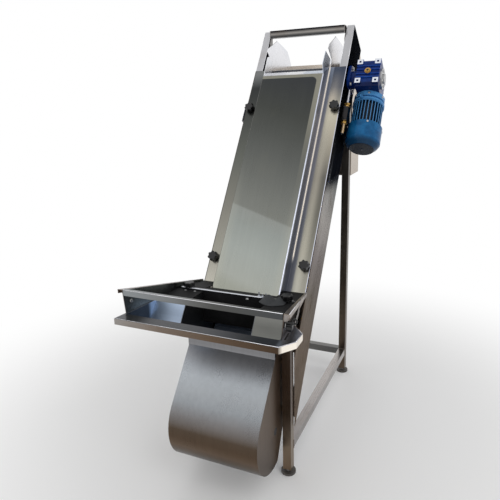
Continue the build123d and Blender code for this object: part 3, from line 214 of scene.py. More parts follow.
class Graph:
    """A node tree, of a material or of the world."""

    def __init__(self, name: str, kind: str = "materials") -> None:
        """Start an empty tree.

        Args:
            name: The name of the material or world.
            kind: Where its owner is kept, materials or worlds.
        """
        self.owner = getattr(bpy.data, kind).new(name)
        self.owner.use_nodes = True
        self.tree = self.owner.node_tree
        self.tree.nodes.clear()

    @cached_property
    def position(self) -> Link:
        """Object coordinates."""
        return self.add("ShaderNodeTexCoord", output="Object")

    def add(self, kind: str, settings: dict | None = None, inputs: dict | None = None,
            output: int | str = 0) -> Link:
        """Add a node.

        Args:
            kind: The node's type.
            settings: Its properties; stops are a ramp's rows of place, red, green and blue.
            inputs: Values or links by socket name or number.
            output: Name or number of the output that is wanted.

        Returns:
            The chosen output.
        """
        node = self.tree.nodes.new(kind)
        for key, value in (settings or {}).items():
            if key == "stops":
                while len(node.color_ramp.elements) < len(value):
                    node.color_ramp.elements.new(1.0)
                for element, (place, *colour) in zip(node.color_ramp.elements, value):
                    element.position, element.color = place, linear(colour)
            else:
                setattr(node, key, value)
        for key, value in (inputs or {}).items():
            if isinstance(value, Link):
                self.tree.links.new(value.socket, node.inputs[key])
            else:
                node.inputs[key].default_value = value
        return Link(self, node.outputs[output]) if len(node.outputs) else Link(self, None)

    def dot(self, direction: Vector) -> Link:
        """Position along a direction."""
        return self.add("ShaderNodeVectorMath", {"operation": "DOT_PRODUCT"},
                        {0: self.position, 1: tuple(direction)}, "Value")

    def along(self, direction: "Run") -> Link:
        """Distance in metres along a direction from the cover's lower corner."""
        return self.dot(direction.vector) - INCLINE.corner.dot(direction.vector)

    def stretched(self, direction: "Run", keep: float) -> Link:
        """Object coordinates squeezed along a direction, so that a pattern on them runs along it.

        Args:
            direction: The direction of the pattern.
            keep: Share of the distance that is kept along it.

        Returns:
            The coordinates.
        """
        part = self.add("ShaderNodeVectorMath", {"operation": "SCALE"},
                        {0: tuple(direction.vector * (1 - keep)), "Scale": self.dot(direction.vector)})
        return self.add("ShaderNodeVectorMath", {"operation": "SUBTRACT"}, {0: self.position, 1: part})

    def noise(self, vector: Link, scale: float, detail: float = 3.0, rough: float = 0.5) -> Link:
        """Noise value, 0 to 1."""
        return self.add("ShaderNodeTexNoise", {}, {"Vector": vector, "Scale": scale, "Detail": detail,
                                                   "Roughness": rough})

    def mix(self, factor: Link | float, first: Link | Colour, second: Link | Colour, blend: str = "MIX") -> Link:
        """Mix of two colours.

        Args:
            factor: Share of the second colour.
            first: The first colour.
            second: The second colour.
            blend: How they mix.

        Returns:
            The mixed colour.
        """
        first, second = (colour if isinstance(colour, Link) else linear(colour) for colour in (first, second))
        return self.add("ShaderNodeMix", {"data_type": "RGBA", "blend_type": blend, "clamp_result": True},
                        {0: factor, 6: first, 7: second}, 2)

    def zones(self, colour: Link | Colour, *parts: tuple[Link | float, Link | Colour]) -> Link:
        """Colours laid over each other in order.

        Args:
            colour: The lowest colour.
            parts: Pairs of a share and the colour that it lays on.

        Returns:
            The final colour.
        """
        for amount, tone in parts:
            colour = self.mix(amount, colour, tone)
        return colour

    def ramp(self, factor: Link, rows: tuple) -> Link:
        """Colour ramp through rows of a place and a display colour."""
        return self.add("ShaderNodeValToRGB", {"stops": rows}, {0: factor})

    def shade(self, colour: Link, amount: Link) -> Link:
        """Colour times a number."""
        grey = self.add("ShaderNodeCombineColor", {}, {0: amount, 1: amount, 2: amount})
        return self.mix(1.0, colour, grey, "MULTIPLY")

    def surface(self, inputs: dict, height: Link | None = None, depth: float = 0.0002,
                strength: float = 0.3) -> Material:
        """Finish the material.

        Args:
            inputs: The Principled surface's values or links by name.
            height: Height for a bump, or None.
            depth: The bump's depth in metres.
            strength: The bump's strength.

        Returns:
            The material.
        """
        if height is not None:
            inputs["Normal"] = self.add("ShaderNodeBump", {}, {"Height": height, "Distance": depth,
                                                               "Strength": strength})
        shader = self.add("ShaderNodeBsdfPrincipled", {}, inputs)
        self.add("ShaderNodeOutputMaterial", {}, {"Surface": shader})
        return self.owner


class Run(enum.Enum):
    """Directions that a finish can follow."""

    ACROSS = (1.0, 0.0, 0.0)
    BACK = (0.0, 1.0, 0.0)
    UP = (0.0, 0.0, 1.0)
    BELT = tuple(INCLINE.along)
    OUT = tuple(INCLINE.outward)

    @property
    def vector(self) -> Vector:
        """The direction as a vector."""
        return Vector(self.value)


@dataclass(frozen=True)
class Steel:
    """Stainless steel: a ramp of tones along one direction, with grain, mottling and stains."""

    name: str
    tones: tuple
    axis: Run = Run.UP
    span: tuple[float, float] = (-0.6, 0.9)
    grain: Run = Run.UP
    streaks: float = 0.12
    mottle: float = 0.2
    roughness: float = 0.3
    stain: Colour = (96, 80, 62)
    stained: float = 0.35
    rim_tint: float = 1.0

    def colour(self, graph: Graph) -> Link:
        """Tones along the axis, before grain and stains."""
        return graph.ramp(graph.along(self.axis).between(*self.span), self.tones)

    def material(self) -> Material:
        """The finished material."""
        graph = Graph(self.name)
        colour = self.colour(graph)
        fine, broad, cloud = (graph.noise(graph.stretched(self.grain, keep), *noise) for keep, *noise in (
            (0.015, 900.0, 2.0), (0.04, 90.0, 3.0), (0.45, 9.0, 4.0, 0.6)))
        patch = graph.noise(graph.position, 5.5, 3.0, 0.55)
        level = 1.0 + (fine - 0.5) * self.streaks + (broad - 0.5) * self.streaks + (cloud - 0.5) * (2 * self.mottle)
        colour = graph.shade(colour, level)
        colour = graph.mix(patch.step(0.52, 0.78) * self.stained, colour, self.stain)
        rough = self.roughness + (fine - 0.5) * 0.12 + (cloud - 0.5) * 0.16
        tint = (self.rim_tint, self.rim_tint, self.rim_tint, 1.0)
        return graph.surface({"Base Color": colour, "Metallic": 1.0, "Roughness": rough, "Specular Tint": tint},
                             fine, 0.0001, 0.25)


@dataclass(frozen=True)
class CoverSteel(Steel):
    """The belt cover's steel: plateau, visor, walls, flanks and bends, each with its own tones of painted light,
    shade and reflections.
    """

    plateau_height: float = 0.0605
    flank_height: float = 0.0035
    slant: float = 0.33
    inner_tones: tuple = ((0.0, 128, 130, 136), (0.7, 146, 146, 154), (1.0, 130, 138, 152))
    corner_x: float = 0.084
    corner_run: float = 0.836
    visor_run: float = 0.8735

    def colour(self, graph: Graph) -> Link:
        """Tones by the piece of the fold that a point lies on."""
        run, height, side = (graph.along(way) for way in (self.axis, Run.OUT, Run.ACROSS))
        place = run.between(*self.span)
        right_half = side.step(-0.01, 0.01)
        # Painted highlights: the plateau is warmer and lighter towards both bends near its foot.
        edge = side.size().step(0.09, 0.128) * run.step(0.5, 0.1)
        # A beige strip of painted reflection turns round the dark field's corner at the upper right.
        wide, high = (side - self.corner_x).most(0.0), (run - self.corner_run).most(0.0)
        corner = (wide * wide + high * high).root().step(0.0215, 0.0245) * run.step(0.3, 0.8)
        # The plateau's tones, slanted across it, are a painted reflection that darkens up the run.
        plateau = graph.zones(graph.ramp((run + side * self.slant).between(*self.span), self.tones),
                              (edge * 0.25, (186, 184, 168)), (corner * 0.85, (142, 140, 128)))
        # The walls' tones are painted light and shade, each wall its own.
        wall = graph.mix(right_half, graph.ramp(place, LEFT_WALL_TONES), graph.ramp(place, RIGHT_WALL_TONES))
        # Painted reflections: the right flank shows three bands side by side, the left one a single gradient.
        right = graph.zones(graph.ramp(place, self.inner_tones),
                            (side.step(0.145, 0.152), graph.ramp(place, FLANK_MIDDLE_TONES)),
                            (side.step(0.162, 0.19), graph.ramp(place, FLANK_OUTER_TONES)))
        flank = graph.mix(right_half, graph.ramp(place, LEFT_FLANK_TONES), right)
        visor = graph.mix(side.step(0.03, 0.05), (228, 229, 233), (190, 198, 212))
        # Painted highlights on the bends and cut edges on the right, painted shade on those on the left.
        crown = height.step(0.056, 0.058) * run.step(0.875, 0.87)
        foot = side.step(0.1275, 0.1285) * side.step(0.1355, 0.1335) * height.step(0.0075, 0.006)
        low = height.step(0.004, 0.003)
        return graph.zones(
            flank,
            (height.step(self.flank_height, self.flank_height + 0.001), wall),
            (height.step(self.plateau_height, self.plateau_height + 0.002), plateau),
            (run.step(self.visor_run, self.visor_run + 0.002) * side.size().step(0.1287, 0.1277), visor),
            (crown * side.step(0.1255, 0.127), (196, 200, 214)),
            (crown * side.step(-0.1262, -0.1275) * 0.9, (64, 62, 58)),
            (foot * run.step(0.10, 0.14), (240, 234, 226)),
            (side.step(0.1972, 0.1985) * low, (212, 215, 228)),
            (side.step(-0.1965, -0.198) * low, (74, 72, 68)))


@dataclass(frozen=True)
class PanelSteel(Steel):
    """The side panels' steel, with painted light and reflections: a bright lower web, a dark head with a curved rim,
    and pale posts.
    """

    dark: Colour = (70, 74, 82)
    middle: Colour = (92, 94, 98)
    post: Colour = (182, 182, 185)
    head_start: float = 0.39
    head_slope: float = 0.75

    def colour(self, graph: Graph) -> Link:
        """Tones by the place on the panel."""
        run, height = graph.along(Run.BELT), graph.along(Run.OUT)
        # The dark head, a painted reflection, begins along a line that leans forwards up the web, and is less dark
        # near the front.
        head = (run + height * self.head_slope - self.head_start).step(-0.03, 0.05)
        front = height.step(-0.05, -0.025) * run.step(0.66, 0.6)
        # Painted shade along the front edge, and painted light on the pale posts.
        edge = height.step(-0.0105, -0.0085) * run.step(0.955, 0.945)
        pale = run.step(0.948, 0.952) * height.step(-0.0032, -0.0022)
        return graph.zones(graph.ramp(run.between(*self.span), self.tones), (head * (1.0 - front), self.dark),
                           (head * front, self.middle), (edge * 0.85, (98, 88, 80)), (pale, self.post))


@dataclass(frozen=True)
class RimSteel(Steel):
    """The rim's steel: a dark top of painted reflection that is pale on the right ear, and a lip that is brown in
    front with a cream painted highlight on the right ear.
    """

    top: float = 0.0183
    lip_tones: tuple = ((0.0, 150, 146, 142), (0.3, 120, 108, 98), (0.6, 98, 82, 68), (0.93, 72, 58, 46),
                        (0.945, 252, 244, 232), (1.0, 252, 244, 232))

    def colour(self, graph: Graph) -> Link:
        """Tones of the top and of the lip."""
        place = graph.along(Run.ACROSS).between(*self.span)
        return graph.mix(graph.along(Run.UP).step(self.top - 0.0006, self.top), graph.ramp(place, self.lip_tones),
                         graph.ramp(place, self.tones))


@dataclass(frozen=True)
class HopperSideSteel(Steel):
    """The hopper sides' steel: brownish outside, and inside grey on the left and near black on the right as painted
    light and shade, with a dull hem.
    """

    foot_half: float = 0.2615
    foot_z: float = 0.019
    front: float = -0.3985
    splay: float = 0.1431
    lean: float = 0.098
    outside: tuple = ((0.0, 118, 104, 94), (0.4, 150, 134, 118), (1.0, 128, 116, 106))

    def colour(self, graph: Graph) -> Link:
        """Tones by the distance from the sheet's outer face."""
        back, up, side = (graph.along(way) for way in (Run.BACK, Run.UP, Run.ACROSS))
        face = self.foot_half - (back - self.front) * self.splay + (up - self.foot_z) * self.lean
        out = side.size() - face
        # Painted light and shade: the inside is grey on the left side and near black on the right.
        inside = graph.mix(side.step(-0.01, 0.01), (96, 100, 100), (24, 24, 26))
        hem = graph.mix(graph.noise(graph.position, 18.0).step(0.4, 0.7), (112, 100, 92), (150, 140, 130))
        return graph.zones(inside, (out.step(-0.0014, -0.0008), graph.ramp(back.between(-0.4, 0.0), self.outside)),
                           (out.step(0.0008, 0.0014), hem))


@dataclass(frozen=True)
class Plastic:
    """Moulded plastic with a fine grain."""

    name: str
    colour: Colour
    pale: Colour
    roughness: float = 0.45
    grain: float = 500.0

    def patterned(self, graph: Graph, colour: Link) -> Link:
        """Plain plastic; pieces with a pattern change it."""
        return colour

    def material(self) -> Material:
        """The finished material."""
        graph = Graph(self.name)
        cloud = graph.noise(graph.position, 30.0, 4.0, 0.6)
        fine = graph.noise(graph.position, self.grain, 2.0)
        colour = self.patterned(graph, graph.mix(cloud.step(0.45, 0.8) * 0.7, self.colour, self.pale))
        rough = self.roughness + (cloud - 0.5) * 0.2
        return graph.surface({"Base Color": colour, "Roughness": rough}, fine, 0.0002, 0.2)


@dataclass(frozen=True)
class BeltPlastic(Plastic):
    """The belt's plastic: rows of small dark marks along the hinges."""

    pitch: float = 0.0254
    mark: float = 0.0075

    def patterned(self, graph: Graph, colour: Link) -> Link:
        """Plastic with its rows of marks, and painted light in the hopper."""
        run = graph.along(Run.BELT)
        across = (graph.along(Run.ACROSS) * (2 * math.pi / self.mark)).wave()
        marks = across * (run * (4 * math.pi / self.pitch)).wave()
        # Painted light: the belt is made paler where it lies in the hopper's shade.
        return graph.zones(colour, (run.step(0.16, 0.1), (120, 134, 156)), (marks.step(0.2, 0.5) * 0.8, (4, 5, 8)))


@dataclass(frozen=True)
class Paint:
    """Gloss paint over a casting or sheet, dusty and patchy in places; some pieces add painted light and shade."""

    name: str
    colour: Colour
    light: Colour
    roughness: float = 0.25
    casting: float = 0.4
    metallic: float = 0.25

    def light_and_shade(self, graph: Graph, colour: Link) -> Link:
        """Paint as it is; pieces with their own painted light and shade change it."""
        return colour

    def material(self) -> Material:
        """The finished material."""
        graph = Graph(self.name)
        cloud = graph.noise(graph.position, 22.0, 4.0, 0.6)
        grit = graph.noise(graph.position, 260.0, 3.0, 0.6)
        colour = self.light_and_shade(graph, graph.mix(cloud.step(0.35, 0.75), self.colour, self.light))
        colour = graph.shade(colour, 1.0 + (grit - 0.5) * 0.25)
        rough = self.roughness + (grit - 0.5) * 0.2 + (cloud - 0.5) * 0.2
        return graph.surface({"Base Color": colour, "Metallic": self.metallic, "Roughness": rough,
                              "Specular IOR Level": 0.12, "Coat Weight": 0.08, "Coat Roughness": 0.12},
                             grit, 0.0004, self.casting)


@dataclass(frozen=True)
class GearPaint(Paint):
    """The gear housing's blue: royal blue above, with painted shade near black towards the motor and between the
    ribs.
    """

    def light_and_shade(self, graph: Graph, colour: Link) -> Link:
        """Paint with painted shade by the place on the housing."""
        # Painted shade near black towards the motor, and on the face, which lies lower than its ribs.
        return graph.zones(colour, (graph.along(Run.BELT).step(0.893, 0.882) * 0.75, (6, 14, 42)),
                           (graph.along(Run.OUT).step(-0.0192, -0.0204) * 0.55, (6, 18, 66)))


@dataclass(frozen=True)
class MotorPaint(Paint):
    """The motor's blue: a painted highlight on the shield, painted shade in the grooves between fins with painted
    highlights, and painted shade that darkens the fan cover to its end.
    """

    axis_x: float = 0.282
    axis_n: float = -0.123
    fan_top: float = 0.737
    fan_foot: float = 0.641
    shield_foot: float = 0.834
    fin_foot: float = 0.0592

    def light_and_shade(self, graph: Graph, colour: Link) -> Link:
        """Paint with painted highlights and shade by the place along the motor and the distance from its axis."""
        run = graph.along(Run.BELT)
        side = graph.along(Run.ACROSS) - self.axis_x
        out = graph.along(Run.OUT) - self.axis_n
        reach = (side * side + out * out).root()
        fins = (run.step(self.fan_top - 0.0005, self.fan_top + 0.0005)
                * run.step(self.shield_foot + 0.0005, self.shield_foot - 0.0005))
        # Painted highlight on the shield, painted shade in the grooves, painted highlights on the fin tips, painted
        # shade down the fan cover to its end.
        return graph.zones(
            colour,
            (run.step(0.83, 0.845) * 0.6, (88, 150, 206)),
            (fins * reach.step(self.fin_foot, self.fin_foot - 0.0047), (6, 20, 36)),
            (fins * reach.step(self.fin_foot, self.fin_foot + 0.0006), (78, 132, 182)),
            (run.step(0.672, 0.652), (14, 52, 82)),
            (run.step(self.fan_foot + 0.0015, self.fan_foot + 0.0005), (16, 26, 40)))


@dataclass(frozen=True)
class Rubber:
    """Dull black rubber with dust."""

    name: str
    colour: Colour
    dust: Colour

    def material(self) -> Material:
        """The finished material."""
        graph = Graph(self.name)
        dust = graph.noise(graph.position, 14.0, 5.0, 0.65)
        grit = graph.noise(graph.position, 420.0, 3.0, 0.6)
        colour = graph.mix(dust.step(0.4, 0.75) * 0.6, self.colour, self.dust)
        return graph.surface({"Base Color": colour, "Roughness": 0.7 + (dust - 0.5) * 0.25,
                              "Specular IOR Level": 0.2}, grit, 0.0003, 0.4)


@dataclass(frozen=True)
class Brass:
    """Dull turned brass."""

    name: str

    def material(self) -> Material:
        """The finished material."""
        graph = Graph(self.name)
        cloud = graph.noise(graph.position, 160.0, 3.0)
        colour = graph.mix(cloud, (150, 112, 52), (214, 178, 104))
        return graph.surface({"Base Color": colour, "Metallic": 1.0, "Roughness": 0.3 + cloud * 0.2},
                             cloud, 0.0002, 0.2)


# These tone tables and those in STEELS carry the light, shade and reflections on the steel, painted into its colour.
# Tones along the cover. They are sampled from the photo: their stops are medians of small patches of it, at steps
# along the cover, some unchanged and the others adjusted. STEELS has more tables that began this way.
COVER_SPAN = (-0.04, 0.96)
PLATEAU_TONES = tones(COVER_SPAN, (-0.04, 158, 160, 150), (0.0, 165, 168, 161), (0.1, 160, 165, 160),
    (0.2, 148, 153, 149), (0.255, 144, 147, 143), (0.262, 125, 127, 122), (0.3, 121, 123, 118), (0.4, 108, 110, 106),
    (0.5, 95, 97, 94), (0.6, 82, 84, 81), (0.7, 70, 72, 69), (0.8, 63, 65, 65), (0.87, 60, 62, 64))
LEFT_FLANK_TONES = tones(COVER_SPAN, (0.0, 186, 183, 172), (0.1, 160, 158, 148), (0.3, 132, 130, 122),
    (0.5, 103, 105, 99), (0.7, 76, 78, 75), (0.86, 56, 58, 58), (0.93, 116, 118, 118))
LEFT_WALL_TONES = tones(COVER_SPAN, (0.0, 150, 150, 146), (0.5, 90, 92, 92), (0.9, 40, 46, 54))
RIGHT_WALL_TONES = tones(COVER_SPAN, (0.0, 72, 78, 92), (0.25, 88, 94, 108), (0.45, 108, 110, 120),
    (0.65, 132, 132, 140), (0.85, 126, 130, 144), (0.95, 104, 112, 128))
FLANK_MIDDLE_TONES = tones(COVER_SPAN, (0.0, 186, 184, 172), (0.15, 180, 176, 162), (0.3, 164, 160, 148),
    (0.45, 154, 149, 138), (0.6, 170, 165, 152), (0.72, 198, 192, 174), (0.8, 186, 178, 164), (0.85, 132, 130, 130),
    (0.93, 76, 83, 97))
FLANK_OUTER_TONES = tones(COVER_SPAN, (0.0, 160, 157, 146), (0.15, 136, 134, 124), (0.3, 112, 110, 102),
    (0.45, 104, 102, 96), (0.6, 164, 158, 144), (0.72, 190, 184, 166), (0.85, 96, 98, 104), (0.93, 70, 76, 90))

STEELS = {
    "channel_cover": CoverSteel("cover steel", PLATEAU_TONES, Run.BELT, COVER_SPAN, Run.BELT, 0.10, 0.07, 0.3,
        (120, 118, 100), 0.12),
    "side_panel": PanelSteel("panel steel", tones((-0.5, 1.16), (-0.5, 176, 164, 152), (-0.2, 188, 176, 166),
        (0.0, 178, 172, 166), (0.15, 192, 186, 184), (0.3, 226, 222, 218), (0.45, 206, 206, 204),
        (0.6, 150, 154, 160), (1.16, 160, 160, 164)), Run.BELT, (-0.5, 1.16), Run.BELT, 0.16, 0.22, 0.28,
        (140, 124, 104), 0.3, 0.08),
    "rim": RimSteel("rim steel", tones((-0.29, 0.31), (-0.29, 84, 85, 89), (0.0, 60, 61, 64), (0.2, 44, 46, 54),
        (0.255, 52, 56, 66), (0.265, 130, 136, 150), (0.31, 150, 154, 166)), Run.ACROSS, (-0.29, 0.31),
        Run.ACROSS, 0.14, 0.2, 0.3, (70, 62, 56), 0.2),
    "hopper_side": HopperSideSteel("hopper side steel", tones((-1, 1), (-1, 90, 90, 90), (1, 90, 90, 90)), Run.BACK,
        (-0.4, 0.0), Run.BACK, 0.14, 0.15, 0.3, (90, 76, 62), 0.15),
    "front_leg": Steel("front leg steel", ((0.0, 124, 106, 88), (0.12, 134, 118, 100), (0.22, 140, 126, 112),
        (0.35, 92, 78, 66), (0.6, 84, 70, 60), (1.0, 60, 54, 50)), Run.UP, (-0.6, 0.0), streaks=0.35, mottle=0.3),
    "rear_leg": Steel("rear leg steel", ((0.0, 96, 84, 72), (0.5, 84, 76, 66), (1.0, 120, 118, 116)), streaks=0.35,
        mottle=0.3),
    "base_tube": Steel("base tube steel", ((0.0, 150, 145, 144), (1.0, 186, 181, 178)), Run.BACK, (-0.2, 0.7),
        Run.BACK, 0.2, 0.25),
    "cross_tube": Steel("cross tube steel", ((0.0, 120, 116, 112), (1.0, 108, 108, 108)), Run.ACROSS, (-0.2, 0.2),
        Run.ACROSS, 0.2, 0.25),
    "boot": Steel("boot steel", tones((-0.56, -0.14), (-0.56, 50, 44, 38), (-0.5, 70, 60, 50), (-0.451, 110, 92, 75),
        (-0.42, 92, 76, 62), (-0.389, 84, 72, 61), (-0.345, 120, 118, 118), (-0.31, 146, 150, 154),
        (-0.28, 160, 164, 168), (-0.24, 174, 179, 184), (-0.21, 164, 168, 174), (-0.18, 146, 147, 151),
        (-0.15, 128, 128, 130)), Run.UP, (-0.56, -0.14), Run.UP, 0.2, 0.12, 0.3, (110, 100, 92), 0.15),
    "boot_side": Steel("boot side steel", ((0.0, 84, 72, 62), (0.6, 104, 88, 74), (1.0, 92, 78, 66)), Run.UP,
        (-0.56, -0.14), Run.UP, 0.2, 0.2, 0.32, (70, 58, 48), 0.3),
    "rail": Steel("rail steel", ((0.0, 138, 142, 144), (0.35, 120, 122, 122), (0.6, 84, 84, 82), (1.0, 74, 76, 78)),
        Run.ACROSS, (-0.27, 0.27), Run.ACROSS, 0.14, 0.15, 0.3, (70, 62, 56), 0.2),
    "left_pocket": Steel("left pocket steel", ((0.0, 60, 66, 74), (0.165, 66, 72, 80), (0.185, 164, 182, 206),
        (1.0, 176, 192, 214)), Run.ACROSS, (-0.26, -0.16), Run.ACROSS, 0.14, 0.2, 0.35, (120, 124, 132), 0.2),
    "right_pocket": Steel("right pocket steel", ((0.0, 116, 118, 114), (1.0, 132, 132, 128)), Run.UP, (-0.2, 0.1),
        Run.ACROSS, 0.14, 0.2, 0.35, (110, 100, 88), 0.2),
    "take_up": Steel("take-up steel", ((0.0, 190, 190, 192), (0.25, 190, 190, 192), (0.27, 44, 46, 50),
        (0.57, 44, 46, 50), (0.59, 196, 196, 200), (1.0, 200, 200, 204)), Run.BELT, (0.668, 0.868),
        Run.BELT, 0.1, 0.1, 0.2),
    "top_tube": Steel("top tube steel", ((0.0, 52, 52, 54), (0.25, 78, 78, 78), (0.5, 150, 146, 142),
        (0.72, 96, 94, 92), (0.85, 30, 30, 34), (1.0, 24, 24, 28)), Run.UP, (0.9215, 0.9515),
        Run.ACROSS, 0.2, 0.3, 0.3),
    "hopper": Steel("hopper steel", ((0.0, 66, 66, 68), (1.0, 120, 120, 120)), Run.ACROSS, (-0.3, 0.3),
        Run.ACROSS, 0.14, 0.2, 0.32, (70, 62, 56), 0.2),
    "inside": Steel("inside steel", ((0.0, 96, 98, 100), (1.0, 128, 130, 134)), Run.UP, (-0.2, 0.1),
        Run.ACROSS, 0.14, 0.2, 0.35),
    "duct": Steel("duct steel", ((0.0, 160, 146, 130), (1.0, 206, 196, 184)), Run.UP, (0.3, 0.9),
        Run.UP, 0.12, 0.15, 0.26, (140, 120, 96), 0.3),
    "guide": Steel("guide steel", ((0.0, 170, 170, 172), (0.6, 206, 206, 208), (1.0, 232, 232, 236)), Run.UP,
        (0.3, 0.9), Run.BELT, 0.08, 0.06, 0.25, (150, 160, 176), 0.2),
    "plain": Steel("plain steel", ((0.0, 150, 150, 150), (1.0, 176, 176, 176))),
}

# CAD nodes by finish. A star stands for a node's left and right.
FINISH_NODES = {
    "base_tube": "base_tube_*", "belt": "cleated_belt", "boot": "boot_cover boot_neck", "boot_side": "boot_side_*",
    "brass": "oil_plug", "casting": "head_bearing", "channel_cover": "channel_cover", "cross_tube": "rear_cross_tube",
    "drum": "head_drum tail_drum", "duct": "duct_front_wall duct_rear_wall duct_side_*", "feet": "levelling_feet",
    "front_leg": "front_leg_*", "gear": "gear_housing output_flange", "guide": "guide_plate_*",
    "hopper": "curtain_bar", "hopper_side": "hopper_side_*", "inside": "belt_bed hopper_chute hopper_skirt_*",
    "knob": "cover_knobs curtain_knobs side_knob", "left_pocket": "hopper_pocket_left",
    "motor": "fan_cover motor_body motor_flange", "plain": "gear_cover", "rail": "hopper_rail",
    "rear_leg": "rear_leg_*", "right_pocket": "hopper_pocket_right", "rim": "feed_rim",
    "rubber": "feed_curtain hopper_liner hopper_seal",
    "side_panel": "side_panel_*", "take_up": "take_up_rod_*", "top_tube": "top_cross_tube",
}


class Finishes:
    """All materials of the conveyor by name."""

    def __init__(self) -> None:
        """Make each material once."""
        self.by_name = {key: steel.material() for key, steel in STEELS.items()}
        others = {
            "belt": BeltPlastic("belt plastic", (34, 40, 52), (58, 66, 82), 0.45),
            "knob": Plastic("knob plastic", (8, 8, 9), (26, 26, 28), 0.35),
            "drum": Plastic("drum plastic", (28, 30, 34), (60, 62, 66), 0.5),
            "feet": Plastic("foot plastic", (70, 66, 62), (110, 104, 98), 0.5),
            "gear": GearPaint("gear paint", (6, 46, 124), (22, 74, 158), 0.3, 0.35, 0.0),
            "motor": MotorPaint("motor paint", (10, 76, 122), (30, 104, 156), 0.28, 0.3, 0.0),
            "casting": Paint("bearing casting", (54, 58, 62), (84, 88, 92)),
            "rubber": Rubber("sheet rubber", (12, 12, 13), (34, 34, 36)),
            "brass": Brass("dull brass"),
            "mat": Rubber("mat rubber", (58, 60, 62), (84, 86, 88)),
            # Painted shade in holes, slots and sockets.
            "dark": Plastic("recess shade", (6, 8, 12), (16, 18, 24), 0.6),
            "bright": Steel("machined steel", ((0.0, 205, 208, 214), (1.0, 225, 228, 234)), streaks=0.05,
                            mottle=0.06, stained=0.05),
            "bolt": Steel("bolt steel", ((0.0, 150, 150, 150), (1.0, 196, 196, 196)), streaks=0.08,
                          mottle=0.2, stained=0.2),
            # Bright enough to paint the highlights on the sheets' bends and edges.
            "edge": Steel("bend highlight steel", ((0.0, 226, 226, 230), (1.0, 240, 240, 244)), streaks=0.04,
                          mottle=0.12, roughness=0.18, stained=0.1),
            "weld": Steel("weld steel", ((0.0, 120, 112, 104), (1.0, 150, 146, 142)), streaks=0.1,
                          mottle=0.4, roughness=0.42, stained=0.5),
        }
        self.by_name.update({key: finish.material() for key, finish in others.items()})

    def __getitem__(self, name: str) -> Material:
        """Material of a finish."""
        return self.by_name[name]

    def dress_nodes(self) -> None:
        """Give every CAD node its material."""
        by_node = {pattern.replace("*", side): finish for finish, patterns in FINISH_NODES.items()
                   for pattern in patterns.split() for side in ("left", "right")}
        for name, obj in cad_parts.items():
            if not obj.material_slots:
                obj.data.materials.append(None)
            for place in obj.material_slots:
                place.material = self[by_node[name]]


